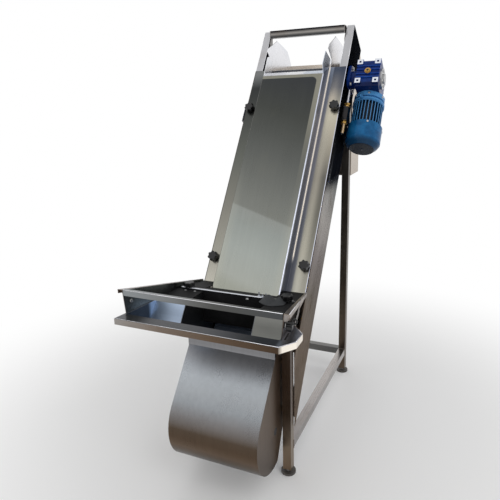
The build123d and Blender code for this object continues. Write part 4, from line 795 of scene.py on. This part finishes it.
class Form:
    """A mesh in the making: parts are made about the origin in millimetres and set down one by one."""

    def __init__(self) -> None:
        """Start an empty mesh."""
        self.mesh = bmesh.new()

    def set_down(self, part: bmesh.types.BMesh, seat: "Seat", turn: float = 0.0) -> None:
        """Move a part to its seat and add it.

        Args:
            part: The part, in millimetres about the origin; it is freed.
            seat: Where it goes.
            turn: Its turn about its own axis, in degrees.
        """
        place = seat.matrix() @ Matrix.Rotation(math.radians(turn), 4, "Z") @ Matrix.Scale(0.001, 4)
        bmesh.ops.transform(part, matrix=place, verts=part.verts)
        bmesh.ops.recalc_face_normals(part, faces=part.faces)
        carrier = bpy.data.meshes.new("carrier")
        part.to_mesh(carrier)
        part.free()
        self.mesh.from_mesh(carrier)
        bpy.data.meshes.remove(carrier)

    @staticmethod
    def soften(part: bmesh.types.BMesh, edges: list[bmesh.types.BMEdge], width: float) -> None:
        """Bevel some edges of a part."""
        if width:
            bmesh.ops.bevel(part, geom=edges, offset=width, segments=2, profile=0.5, affect="EDGES", material=-1)

    @staticmethod
    def spin(part: bmesh.types.BMesh, geom: list, steps: int) -> None:
        """Turn a closed outline fully about the part's axis."""
        bmesh.ops.spin(part, geom=geom, angle=2 * math.pi, steps=steps, axis=(0, 0, 1), cent=(0, 0, 0),
                       use_merge=True)

    def disc(self, seat: "Seat", radius: float, height: float, sides: int = 24, soft: float = 0.0,
             top: float | None = None, turn: float = 0.0) -> None:
        """Disc, rod, cone or prism on its seat.

        Args:
            seat: The middle of its foot.
            radius: Its radius, to the corners of a prism.
            height: Its height.
            sides: Its number of sides.
            soft: Width of the bevel on its top edge.
            top: Its top radius where that differs.
            turn: Its turn about its axis, in degrees.
        """
        part = bmesh.new()
        bmesh.ops.create_cone(part, cap_ends=True, segments=sides, radius1=radius,
                              radius2=radius if top is None else top, depth=height,
                              matrix=Matrix.Translation((0, 0, height / 2)))
        rim = [edge for edge in part.edges if min(vert.co.z for vert in edge.verts) > height * 0.99]
        self.soften(part, rim, soft)
        self.set_down(part, seat, turn)

    def ring(self, seat: "Seat", outer: float, inner: float, height: float, sides: int = 32, soft: float = 0.0,
             turn: float = 0.0) -> None:
        """Flat ring with a rectangular section on its seat, turned about its axis by some degrees."""
        part = bmesh.new()
        corners = [part.verts.new((x, 0, z)) for x, z in ((inner, 0), (outer, 0), (outer, height), (inner, height))]
        edges = [part.edges.new((corners[index], corners[(index + 1) % 4])) for index in range(4)]
        self.spin(part, corners + edges, sides)
        rim = [edge for edge in part.edges
               if all(vert.co.z > height * 0.99 and vert.co.xy.length > outer * 0.99 for vert in edge.verts)]
        self.soften(part, rim, soft)
        self.set_down(part, seat, turn)

    def hoop(self, seat: "Seat", radius: float, wire: float, lift: float = 0.0, upright: bool = False) -> None:
        """Round wire bent to a hoop, flat on its seat or standing on it."""
        part = bmesh.new()
        section = Matrix.Translation((radius, 0, 0)) @ Matrix.Rotation(math.pi / 2, 4, "X")
        made = bmesh.ops.create_circle(part, segments=10, radius=wire, matrix=section)
        edges = list({edge for vert in made["verts"] for edge in vert.link_edges})
        self.spin(part, made["verts"] + edges, 28)
        if upright:
            bmesh.ops.rotate(part, matrix=Matrix.Rotation(math.pi / 2, 3, "X"), cent=(0, 0, 0), verts=part.verts)
        bmesh.ops.translate(part, vec=(0, 0, lift), verts=part.verts)
        self.set_down(part, seat)

    def slab(self, seat: "Seat", size: tuple[float, float, float], soft: float = 0.0, turn: float = 0.0) -> None:
        """Block on its seat with soft edges."""
        part = bmesh.new()
        bmesh.ops.create_cube(part, size=1.0)
        bmesh.ops.scale(part, vec=size, verts=part.verts)
        bmesh.ops.translate(part, vec=(0, 0, size[2] / 2), verts=part.verts)
        self.soften(part, list(part.edges), soft)
        self.set_down(part, seat, turn)

    def bolt(self, seat: "Seat", radius: float = 5.0, turn: float = 15.0) -> None:
        """Hexagon head on its washer."""
        self.ring(seat, radius * 1.45, radius * 0.4, radius * 0.2, 20)
        self.disc(seat.lifted(radius * 0.2), radius * 1.1, radius * 0.72, 6, radius * 0.16, turn=turn)

    def wire(self, start: Vector, end: Vector, radius: float, sides: int = 8) -> None:
        """Thin round strip from one place to another, with its radius in millimetres."""
        run = end - start
        self.disc(Seat(start, run, (1.0, 0.001, 0.0)), radius, run.length * 1000, sides)

    def beads(self, start: Vector, end: Vector, radius: float) -> None:
        """Row of weld ripples from one place to another, with their radius in millimetres."""
        run = end - start
        count = max(2, round(run.length * 1000 / (radius * 1.5)))
        for index in range(count + 1):
            part = bmesh.new()
            bmesh.ops.create_icosphere(part, subdivisions=1, radius=radius)
            self.set_down(part, Seat(start + run * (index / count), run, (1.0, 0.3, 0.2)), index * 40.0)

    def piece(self, name: str, finish: Material, slot: str, soft: bool = False) -> bpy.types.Object:
        """Finish the mesh as one piece on the machine.

        Args:
            name: The piece's name.
            finish: Its material.
            slot: Not used.
            soft: Whether its shading is smooth.

        Returns:
            The piece.
        """
        mesh = bpy.data.meshes.new(name)
        self.mesh.to_mesh(mesh)
        self.mesh.free()
        mesh.materials.append(finish)
        if soft:
            mesh.shade_smooth()
        piece = linked(name, mesh)
        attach(piece, "root")
        log.info("%s: %d faces", name, len(mesh.polygons))
        return piece


@dataclass(frozen=True)
class Seat:
    """Where a fitting sits: a place in metres, the way that it faces and its own X."""

    place: Vector
    facing: Vector
    across: tuple[float, float, float] = (1.0, 0.0, 0.0)

    def matrix(self) -> Matrix:
        """Place and turn of the fitting."""
        facing = self.facing.normalized()
        side = Vector(self.across)
        side = (side - facing * side.dot(facing)).normalized()
        axes = Matrix((side, facing.cross(side), facing)).transposed()
        return Matrix.Translation(self.place) @ axes.to_4x4()

    def lifted(self, height: float) -> "Seat":
        """The same seat moved along its facing, in millimetres."""
        return Seat(self.place + self.facing.normalized() * (height / 1000), self.facing, self.across)


@dataclass
class DriveFittings:
    """Bolts, plates and small parts of the gear housing and the motor."""

    axis_x: float = 282.0
    head_s: float = 935.0
    shaft_n: float = -73.0
    gear_front: float = -15.0
    gear_rear: float = -159.0
    lug_x: float = 35.0
    lug_s: float = 44.0
    motor_n: float = -123.0
    motor_top: float = 855.0
    fan_top: float = 737.0
    fan_foot: float = 641.0
    fan_radius: float = 69.0
    grille_rings: tuple = (13.0, 19.5, 26.0, 32.5, 39.0)
    dot_pitch: float = 6.2
    rod_x: float = 214.0
    rod_n: float = -48.0
    nuts: tuple = ((711.6, 9.8), (782.8, 9.8), (797.0, 8.0))
    thread_foot: float = 668.6
    thread_pitch: float = 2.5
    threads_cut: int = 17
    lid_s: float = 793.0
    lid_n: float = -217.0
    lid: tuple[float, float, float] = (51.0, 57.0, 2.2)
    # Bolts of the bearing cover, the output flange and the left bearing: X, offsets along and out, radius.
    face_bolts: tuple = ((336.0, 21.5, 21.5, 4.0), (212.0, 37.0, 27.0, 5.5), (-212.0, 33.0, 33.0, 5.5))

    def across(self, x: float, s: float, n: float, way: Vector) -> Seat:
        """Seat on the drive with its own X up the belt's run."""
        return Seat(INCLINE.on(x, s, n), way, tuple(INCLINE.along))

    def round_motor(self, degrees: float, s: float, radius: float) -> Seat:
        """Seat on the motor's barrel, turned from its front towards its right side."""
        turn = math.radians(degrees)
        way = INCLINE.outward * math.cos(turn) + Run.ACROSS.vector * math.sin(turn)
        return Seat(INCLINE.on(self.axis_x, s, self.motor_n) + way * (radius / 1000), way, tuple(INCLINE.along))

    def lug_pads(self, finish: Material) -> None:
        """Bare machined pads on the gear housing's corner lugs."""
        form = Form()
        for face, way in ((self.gear_front, INCLINE.outward), (self.gear_rear, -INCLINE.outward)):
            for side, end in CORNERS:
                seat = self.across(self.axis_x + side * self.lug_x, self.head_s + end * self.lug_s, face, way)
                form.ring(seat, 15.6, 6.0, 0.8, 4, turn=45.0)
        form.piece("gear_lug_pads", finish, "stainless")

    def plug(self, brass: Material, dark: Material) -> None:
        """Sealing ring of the oil plug, and the socket in its head as a dark disc that paints its shade."""
        form = Form()
        form.ring(self.across(self.axis_x, self.head_s, self.gear_front, INCLINE.outward), 12.6, 9.3, 3.0, 28, 0.8)
        form.piece("oil_plug_ring", brass, "brass", True)
        form = Form()
        form.disc(self.across(self.axis_x, self.head_s, self.gear_front + 6.0, INCLINE.outward), 5.4, 0.5, 6)
        form.piece("oil_plug_socket", dark, "knob_plastic")

    def bolts(self, finish: Material) -> None:
        """Bolts of the bearing cover, of both flanges and of the bearing on the left."""
        form = Form()
        for side, end in CORNERS:
            for x, along, out, radius in self.face_bolts:
                way = Run.ACROSS.vector * math.copysign(1.0, x)
                form.bolt(self.across(x, self.head_s + end * along, self.shaft_n + side * out, way), radius)
        for degrees in (-50.0, 8.0, 66.0, 130.0, 190.0, 250.0):
            form.bolt(self.round_motor(degrees, self.motor_top + 10.0, 62.0), 3.6)
        for degrees in (18.0, 108.0, 198.0, 288.0):
            form.disc(self.round_motor(degrees, self.fan_top - 7.0, self.fan_radius - 0.2), 4.2, 2.4, 16, 0.8)
        form.piece("drive_bolts", finish, "stainless")

    def eyebolt(self, finish: Material) -> None:
        """Lifting eye on the motor's end shield."""
        form = Form()
        seat = self.round_motor(-15.0, self.motor_top - 12.0, 64.0)
        form.disc(seat, 6.5, 2.6, 20, 0.7)
        form.hoop(seat, 6.4, 2.0, 9.0, True)
        form.piece("motor_eyebolt", finish, "motor_paint", True)

    def terminal_lid(self, finish: Material, steel: Material) -> None:
        """Lid of the terminal box and its screws."""
        back = -INCLINE.outward
        form = Form()
        form.slab(Seat(INCLINE.on(self.axis_x, self.lid_s, self.lid_n), back), self.lid, 0.9)
        form.piece("terminal_lid", finish, "motor_paint")
        form = Form()
        for side, end in CORNERS:
            place = INCLINE.on(self.axis_x + side * 20.5, self.lid_s + end * 23.5, self.lid_n - self.lid[2])
            form.disc(Seat(place, back), 3.0, 1.6, 16, 0.6)
        form.piece("terminal_lid_screws", steel, "stainless")

    def grille(self, dark: Material, paint: Material) -> None:
        """Rings of air holes in the fan cover's end, as dark discs that paint the shade in them, and its hub."""
        form = Form()
        down = -INCLINE.along
        middle = INCLINE.on(self.axis_x, self.fan_foot, self.motor_n)
        for radius in self.grille_rings:
            count = round(2 * math.pi * radius / self.dot_pitch)
            for index in range(count):
                turn = 2 * math.pi * (index + 0.5 * (radius % 2 > 1)) / count
                offset = Run.ACROSS.vector * math.cos(turn) + INCLINE.outward * math.sin(turn)
                form.disc(Seat(middle + offset * (radius / 1000), down), 2.1, 0.3, 8)
        form.piece("fan_grille_holes", dark, "knob_plastic")
        form = Form()
        form.disc(Seat(middle, down), 7.5, 0.9, 24, 0.4)
        form.hoop(Seat(middle, down), 44.0, 0.7, 0.1)
        form.piece("fan_grille_hub", paint, "motor_paint", True)

    def take_up(self, brass: Material) -> None:
        """Brass nuts on both take-up rods."""
        form = Form()
        for side in SIDES:
            for s, length in self.nuts:
                seat = Seat(INCLINE.on(side * self.rod_x, s, self.rod_n), INCLINE.along)
                form.disc(seat, 11.6, length, 6, 1.0, turn=s)
        form.piece("take_up_nuts", brass, "brass")

    def threads(self, finish: Material) -> None:
        """Cut threads on the lower ends of the take-up rods."""
        form = Form()
        half = self.thread_pitch / 2
        for side in SIDES:
            for index in range(self.threads_cut):
                s = self.thread_foot + index * self.thread_pitch
                seat = Seat(INCLINE.on(side * self.rod_x, s, self.rod_n), INCLINE.along)
                form.disc(seat, 5.8, half, 16, top=6.7)
                form.disc(seat.lifted(half), 6.7, half, 16, top=5.8)
        form.piece("take_up_threads", finish, "brass")

    def build(self, finishes: "Finishes") -> None:
        """Build every fitting of the drive."""
        self.lug_pads(finishes["bright"])
        self.plug(finishes["brass"], finishes["dark"])
        self.bolts(finishes["bolt"])
        self.eyebolt(finishes["motor"])
        self.terminal_lid(finishes["motor"], finishes["bolt"])
        self.grille(finishes["dark"], finishes["motor"])
        self.take_up(finishes["brass"])
        self.threads(finishes["brass"])


@dataclass
class HopperFittings:
    """Small parts of the feed hopper."""

    rim_top: float = 19.0
    bar_top: float = 25.0
    strip_y: float = -147.0
    strip_z: float = 26.4
    bolt_places: tuple = ((-186.0, -160.0), (-150.0, -159.0), (50.0, -159.0))
    stud_places: tuple = ((84.0, -138.0, 15.0), (97.0, -139.0, 9.0), (108.0, -137.0, 12.0))
    flap_ends: tuple = (98.0, 184.0)
    flap_depth: tuple = (-196.0, -145.0)
    flap_height: float = 17.0
    strip_ends: tuple = (-208.0, 96.0)
    knob: tuple[float, float, float] = (286.0, -366.0, 62.0)

    def bolts(self, finish: Material) -> None:
        """Bolts beside the clamp bar, and the one on the left side where the right side has its knob."""
        form = Form()
        up = Run.UP.vector
        for x, y in self.bolt_places:
            form.bolt(Seat(INCLINE.at(x, y, self.rim_top), up), 4.2)
        for x in (-230.0, 200.0):
            form.bolt(Seat(INCLINE.at(x, -138.0, self.bar_top), up), 4.2)
        form.bolt(Seat(INCLINE.at(-260.6, -370.0, 50.0), Vector((1.0, -0.16, 0.1))), 6.0)
        form.piece("hopper_bolts", finish, "stainless")

    def studs(self, finish: Material) -> None:
        """Cluster of nuts and stud ends on the clamp bar, and a bright strip along its front that paints the bar's
        highlight.
        """
        form = Form()
        up = Run.UP.vector
        for x, y, height in self.stud_places:
            seat = Seat(INCLINE.at(x, y, self.bar_top), up)
            form.bolt(seat, 4.6, x)
            form.disc(seat.lifted(3.0), 2.2, height, 10, 0.5)
        form.piece("bar_studs", finish, "stainless")
        form = Form()
        form.wire(*(INCLINE.at(x, self.strip_y, self.strip_z) for x in self.strip_ends), 2.4)
        form.piece("bar_highlight_strip", finish, "stainless")

    def flap(self, finish: Material) -> None:
        """Rubber mat before the bar that bulges in two low half-moons."""
        part = bmesh.new()
        low_x, high_x = self.flap_ends
        front, back = self.flap_depth
        bmesh.ops.create_grid(part, x_segments=36, y_segments=14, size=0.5)
        for vert in part.verts:
            along, depth = vert.co.x + 0.5, vert.co.y + 0.5
            # Two bulges, the right one lower, that die away to the front in a curve.
            bulge = math.sin(math.pi * min(along / 0.56, 1.0))
            bulge += 0.8 * math.sin(math.pi * max((along - 0.52) / 0.48, 0.0))
            front_here = back + (front - back) * (0.35 + 0.65 * math.sin(math.pi * (0.12 + 0.76 * along)))
            vert.co = (low_x + (high_x - low_x) * along, front_here + (back - front_here) * depth,
                       self.flap_height * max(bulge, 0.0) * depth ** 0.7)
        bmesh.ops.solidify(part, geom=list(part.faces), thickness=-1.6)
        form = Form()
        form.set_down(part, Seat(INCLINE.at(0.0, 0.0, self.rim_top + 2.6), Run.UP.vector))
        form.piece("bar_mat", finish, "rubber", True)

    def knob_loop(self, black: Material, steel: Material) -> None:
        """Pull loop on the side knob and the washer behind it."""
        form = Form()
        form.hoop(Seat(INCLINE.at(*self.knob), Vector((0.4, -0.9, 0.1))), 7.6, 2.4)
        form.piece("side_knob_loop", black, "knob_plastic", True)
        form = Form()
        form.ring(Seat(INCLINE.at(266.2, -380.0, 54.0), Vector((1.0, 0.16, -0.1))), 12.0, 5.0, 1.4)
        form.piece("side_knob_washer", steel, "stainless")

    def slot(self, dark: Material) -> None:
        """Slot in the rim outside the foot of the right hopper side, as a thin dark plate that paints the shade in
        it.
        """
        form = Form()
        form.slab(Seat(INCLINE.at(267.6, -376.0, self.rim_top), Run.UP.vector), (5.0, 44.0, 0.3), turn=5.0)
        form.piece("rim_slot", dark, "knob_plastic")

    def build(self, finishes: "Finishes") -> None:
        """Build every fitting of the hopper."""
        self.bolts(finishes["bolt"])
        self.studs(finishes["bright"])
        self.flap(finishes["mat"])
        self.knob_loop(finishes["knob"], finishes["bolt"])
        self.slot(finishes["dark"])


@dataclass
class Edges:
    """Rounded bends and edges of the sheets, as slim strips along them in a bright steel that paints their
    highlights.
    """

    outer_half: float = 200.0
    cover_top: float = 950.0
    panel_top: float = 1153.0
    # Insets and depths of the strips along each post's two bends.
    post_bends: tuple = ((0.5, -0.6), (30.2, -0.8))
    hem: tuple = ((283.6, -398.0, 95.0), (205.2, -4.5, 8.8))
    rail: tuple = ((-265.0, -398.2, 95.0), (265.0, -398.2, 95.0))
    rim_z: float = 18.4
    # Corners of the rim's front and right ear, each with the radius of the strip that ends there.
    rim: tuple = ((-269.4, -444.6, 0.0), (269.4, -444.6, 1.3), (302.0, -398.0, 1.3), (302.0, -344.0, 1.2),
                  (261.0, -296.0, 1.2))

    def strips(self) -> list:
        """Ends of the strips and their radii."""
        rows = []
        for side in SIDES:
            for inset, depth in self.post_bends:
                across = side * (self.outer_half - inset)
                foot, top = (INCLINE.on(across, s, depth) for s in (self.cover_top, self.panel_top))
                rows.append((foot, top, 1.0))
            front, rear = (INCLINE.at(side * x, y, z) for x, y, z in self.hem)
            rows.append((front, rear, 1.2))
        for (x, y, _), (next_x, next_y, radius) in zip(self.rim, self.rim[1:]):
            rows.append((INCLINE.at(x, y, self.rim_z), INCLINE.at(next_x, next_y, self.rim_z), radius))
        return [*rows, (*(INCLINE.at(*corner) for corner in self.rail), 1.0)]

    def build(self, finishes: "Finishes") -> None:
        """Build the strips as one piece."""
        form = Form()
        for start, end, radius in self.strips():
            form.wire(start, end, radius)
        form.piece("sheet_edges", finishes["edge"], "stainless", True)


@dataclass
class FrameFittings:
    """Welds of the frame, lock nuts of the feet and screws of the boot."""

    tube: float = 30.0
    bead: float = 1.9
    screw_heights: tuple = (-252.0, -357.0, -402.0)

    def weld(self, form: Form, seat: Seat, sides: tuple[int, ...], short: float = 0.0) -> None:
        """Weld on some sides of a square tube's end.

        Args:
            form: The mesh that it goes into.
            seat: The middle of the tube's end, with its X up.
            sides: Numbers of the sides.
            short: How far the upright sides stop short of the corners, in millimetres.
        """
        half = self.tube / 2000 + 0.0002
        high = half - short / 1000
        place = seat.matrix()
        corners = [place @ Vector((x * high, y * half, 0)) for x, y in ((-1, -1), (1, -1), (1, 1), (-1, 1))]
        for index in sides:
            form.beads(corners[index], corners[(index + 1) % 4], self.bead)

    def welds(self, finish: Material) -> None:
        """Welds at both ends of the base tubes and of the cross tubes."""
        form = Form()
        for name, axis in (("base_tube_left", 1), ("base_tube_right", 1), ("rear_cross_tube", 0),
                           ("top_cross_tube", 0)):
            low, high = (Vector(corner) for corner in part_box(name))
            for corner in (low, high):
                place = (low + high) / 2
                place[axis] = corner[axis]
                facing = Vector((0.0, 0.0, 0.0))
                facing[axis] = 1.0
                # The top tube is flush with its posts above and has its welds before and behind.
                sides = ((0, 2), 2.4) if name == "top_cross_tube" else ((0, 1, 2, 3),)
                self.weld(form, Seat(place, facing, (0.0, 0.0, 1.0)), *sides)
        form.piece("frame_welds", finish, "stainless", True)

    def lock_nuts(self, finish: Material) -> None:
        """Lock nut over each levelling foot."""
        form = Form()
        for name in ("front_leg_left", "front_leg_right", "rear_leg_left", "rear_leg_right"):
            low, high = (Vector(corner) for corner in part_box(name))
            middle = Vector(((low.x + high.x) / 2, low.y + self.tube / 2000, 0.0095))
            form.disc(Seat(middle, Run.UP.vector), 13.5, 6.0, 6, 1.0, turn=20.0)
        form.piece("foot_lock_nuts", finish, "stainless")

    def boot_screws(self, finish: Material) -> None:
        """Screws of the boot's side plates."""
        form = Form()
        for side in SIDES:
            for z in self.screw_heights:
                form.disc(Seat(INCLINE.at(side * 161.0, -176.0, z), Run.ACROSS.vector * side), 3.4, 1.8, 16, 0.6)
        form.piece("boot_screws", finish, "stainless")

    def build(self, finishes: "Finishes") -> None:
        """Build every fitting of the frame and the boot."""
        self.welds(finishes["weld"])
        self.lock_nuts(finishes["bolt"])
        self.boot_screws(finishes["bolt"])


@dataclass
class Studio:
    """Floor, world, lamps and camera."""

    eye: tuple[float, float, float] = (718.9, -1604.0, 646.2)
    turn: float = -0.4223
    roll: float = -0.0270
    tilt: float = 0.2502
    focal_pixels: float = 512.46
    centre: tuple[float, float] = (247.55, 234.75)
    picture: int = 500
    floor_radius: float = 12.0

    def camera(self) -> bpy.types.Object:
        """The camera at the photograph's viewing angle."""
        view = Matrix(((1, 0, 0), (0, 0, -1), (0, 1, 0)))
        turned = (Matrix.Rotation(self.tilt, 3, "X") @ Matrix.Rotation(self.roll, 3, "Z") @ view
                  @ Matrix.Rotation(self.turn, 3, "Z"))
        axes = Matrix((turned[0], -turned[1], -turned[2])).transposed()
        data = bpy.data.cameras.new("camera")
        data.sensor_width = 36.0
        data.lens = self.focal_pixels / self.picture * data.sensor_width
        data.shift_x = (self.picture / 2 - self.centre[0]) / self.picture
        data.shift_y = (self.centre[1] - self.picture / 2) / self.picture
        camera = linked("camera", data)
        camera.matrix_world = Matrix.Translation(INCLINE.at(*self.eye)) @ axes.to_4x4()
        bpy.context.scene.camera = camera
        return camera

    def world(self, level: float = 0.75) -> None:
        """World that shows white and lights the object at a plain level."""
        graph = Graph("studio", "worlds")
        camera, glossy, through = (graph.add("ShaderNodeLightPath", output=f"Is {kind} Ray")
                                   for kind in ("Camera", "Glossy", "Transmission"))
        strength = graph.add("ShaderNodeMapRange", {}, {0: camera.most(glossy.most(through)), 3: level, 4: 1.0})
        background = graph.add("ShaderNodeBackground", {}, {0: (1.0, 1.0, 1.0, 1.0), 1: strength})
        graph.add("ShaderNodeOutputWorld", {}, {0: background})
        bpy.context.scene.world = graph.owner

    def floor(self) -> bpy.types.Object:
        """Pale floor that runs out into white."""
        shape = bmesh.new()
        bmesh.ops.create_circle(shape, cap_ends=True, segments=96, radius=self.floor_radius)
        mesh = bpy.data.meshes.new("floor")
        shape.to_mesh(mesh)
        shape.free()
        floor = linked("floor", mesh)
        graph = Graph("floor")
        distance = graph.add("ShaderNodeVectorMath", {"operation": "LENGTH"}, {0: graph.position}, "Value")
        matt = graph.add("ShaderNodeBsdfDiffuse", {}, {"Color": (0.92, 0.92, 0.92, 1.0)})
        white = graph.add("ShaderNodeEmission", {}, {"Color": (1.0, 1.0, 1.0, 1.0), "Strength": 1.0})
        both = graph.add("ShaderNodeMixShader", {}, {0: distance.step(0.7, 1.9), 1: matt, 2: white})
        graph.add("ShaderNodeOutputMaterial", {}, {"Surface": both})
        mesh.materials.append(graph.owner)
        return floor

    def lamp(self, name: str, place: tuple[float, float, float], size: float, power: float) -> None:
        """Square soft lamp that faces the machine.

        Args:
            name: The lamp's name.
            place: Its place in metres.
            size: Its side in metres.
            power: Its power in watts.
        """
        data = bpy.data.lights.new(name, "AREA")
        data.size = size
        data.energy = power
        lamp = linked(name, data)
        aim = Vector((0.0, 0.0, 0.8)) - Vector(place)
        lamp.matrix_world = Matrix.Translation(Vector(place)) @ aim.to_track_quat("-Z", "Y").to_matrix().to_4x4()

    def build(self) -> None:
        """Set the whole studio."""
        self.camera()
        self.world()
        self.floor()
        self.lamp("key lamp", (3.2, -1.8, 3.2), 2.4, 26.0)
        self.lamp("fill lamp", (-3.2, -1.0, 1.4), 2.4, 8.0)


def main() -> None:
    """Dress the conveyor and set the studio."""
    logging.basicConfig(level=logging.INFO, format="%(name)s: %(message)s")
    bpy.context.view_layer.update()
    bpy.context.scene.view_settings.view_transform = "Standard"
    Studio().build()
    finishes = Finishes()
    finishes.dress_nodes()
    for part in (DriveFittings(), HopperFittings(), Edges(), FrameFittings()):
        part.build(finishes)
    log.info("dressed %d nodes", len(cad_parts))


if __name__ == "__main__":
    main()
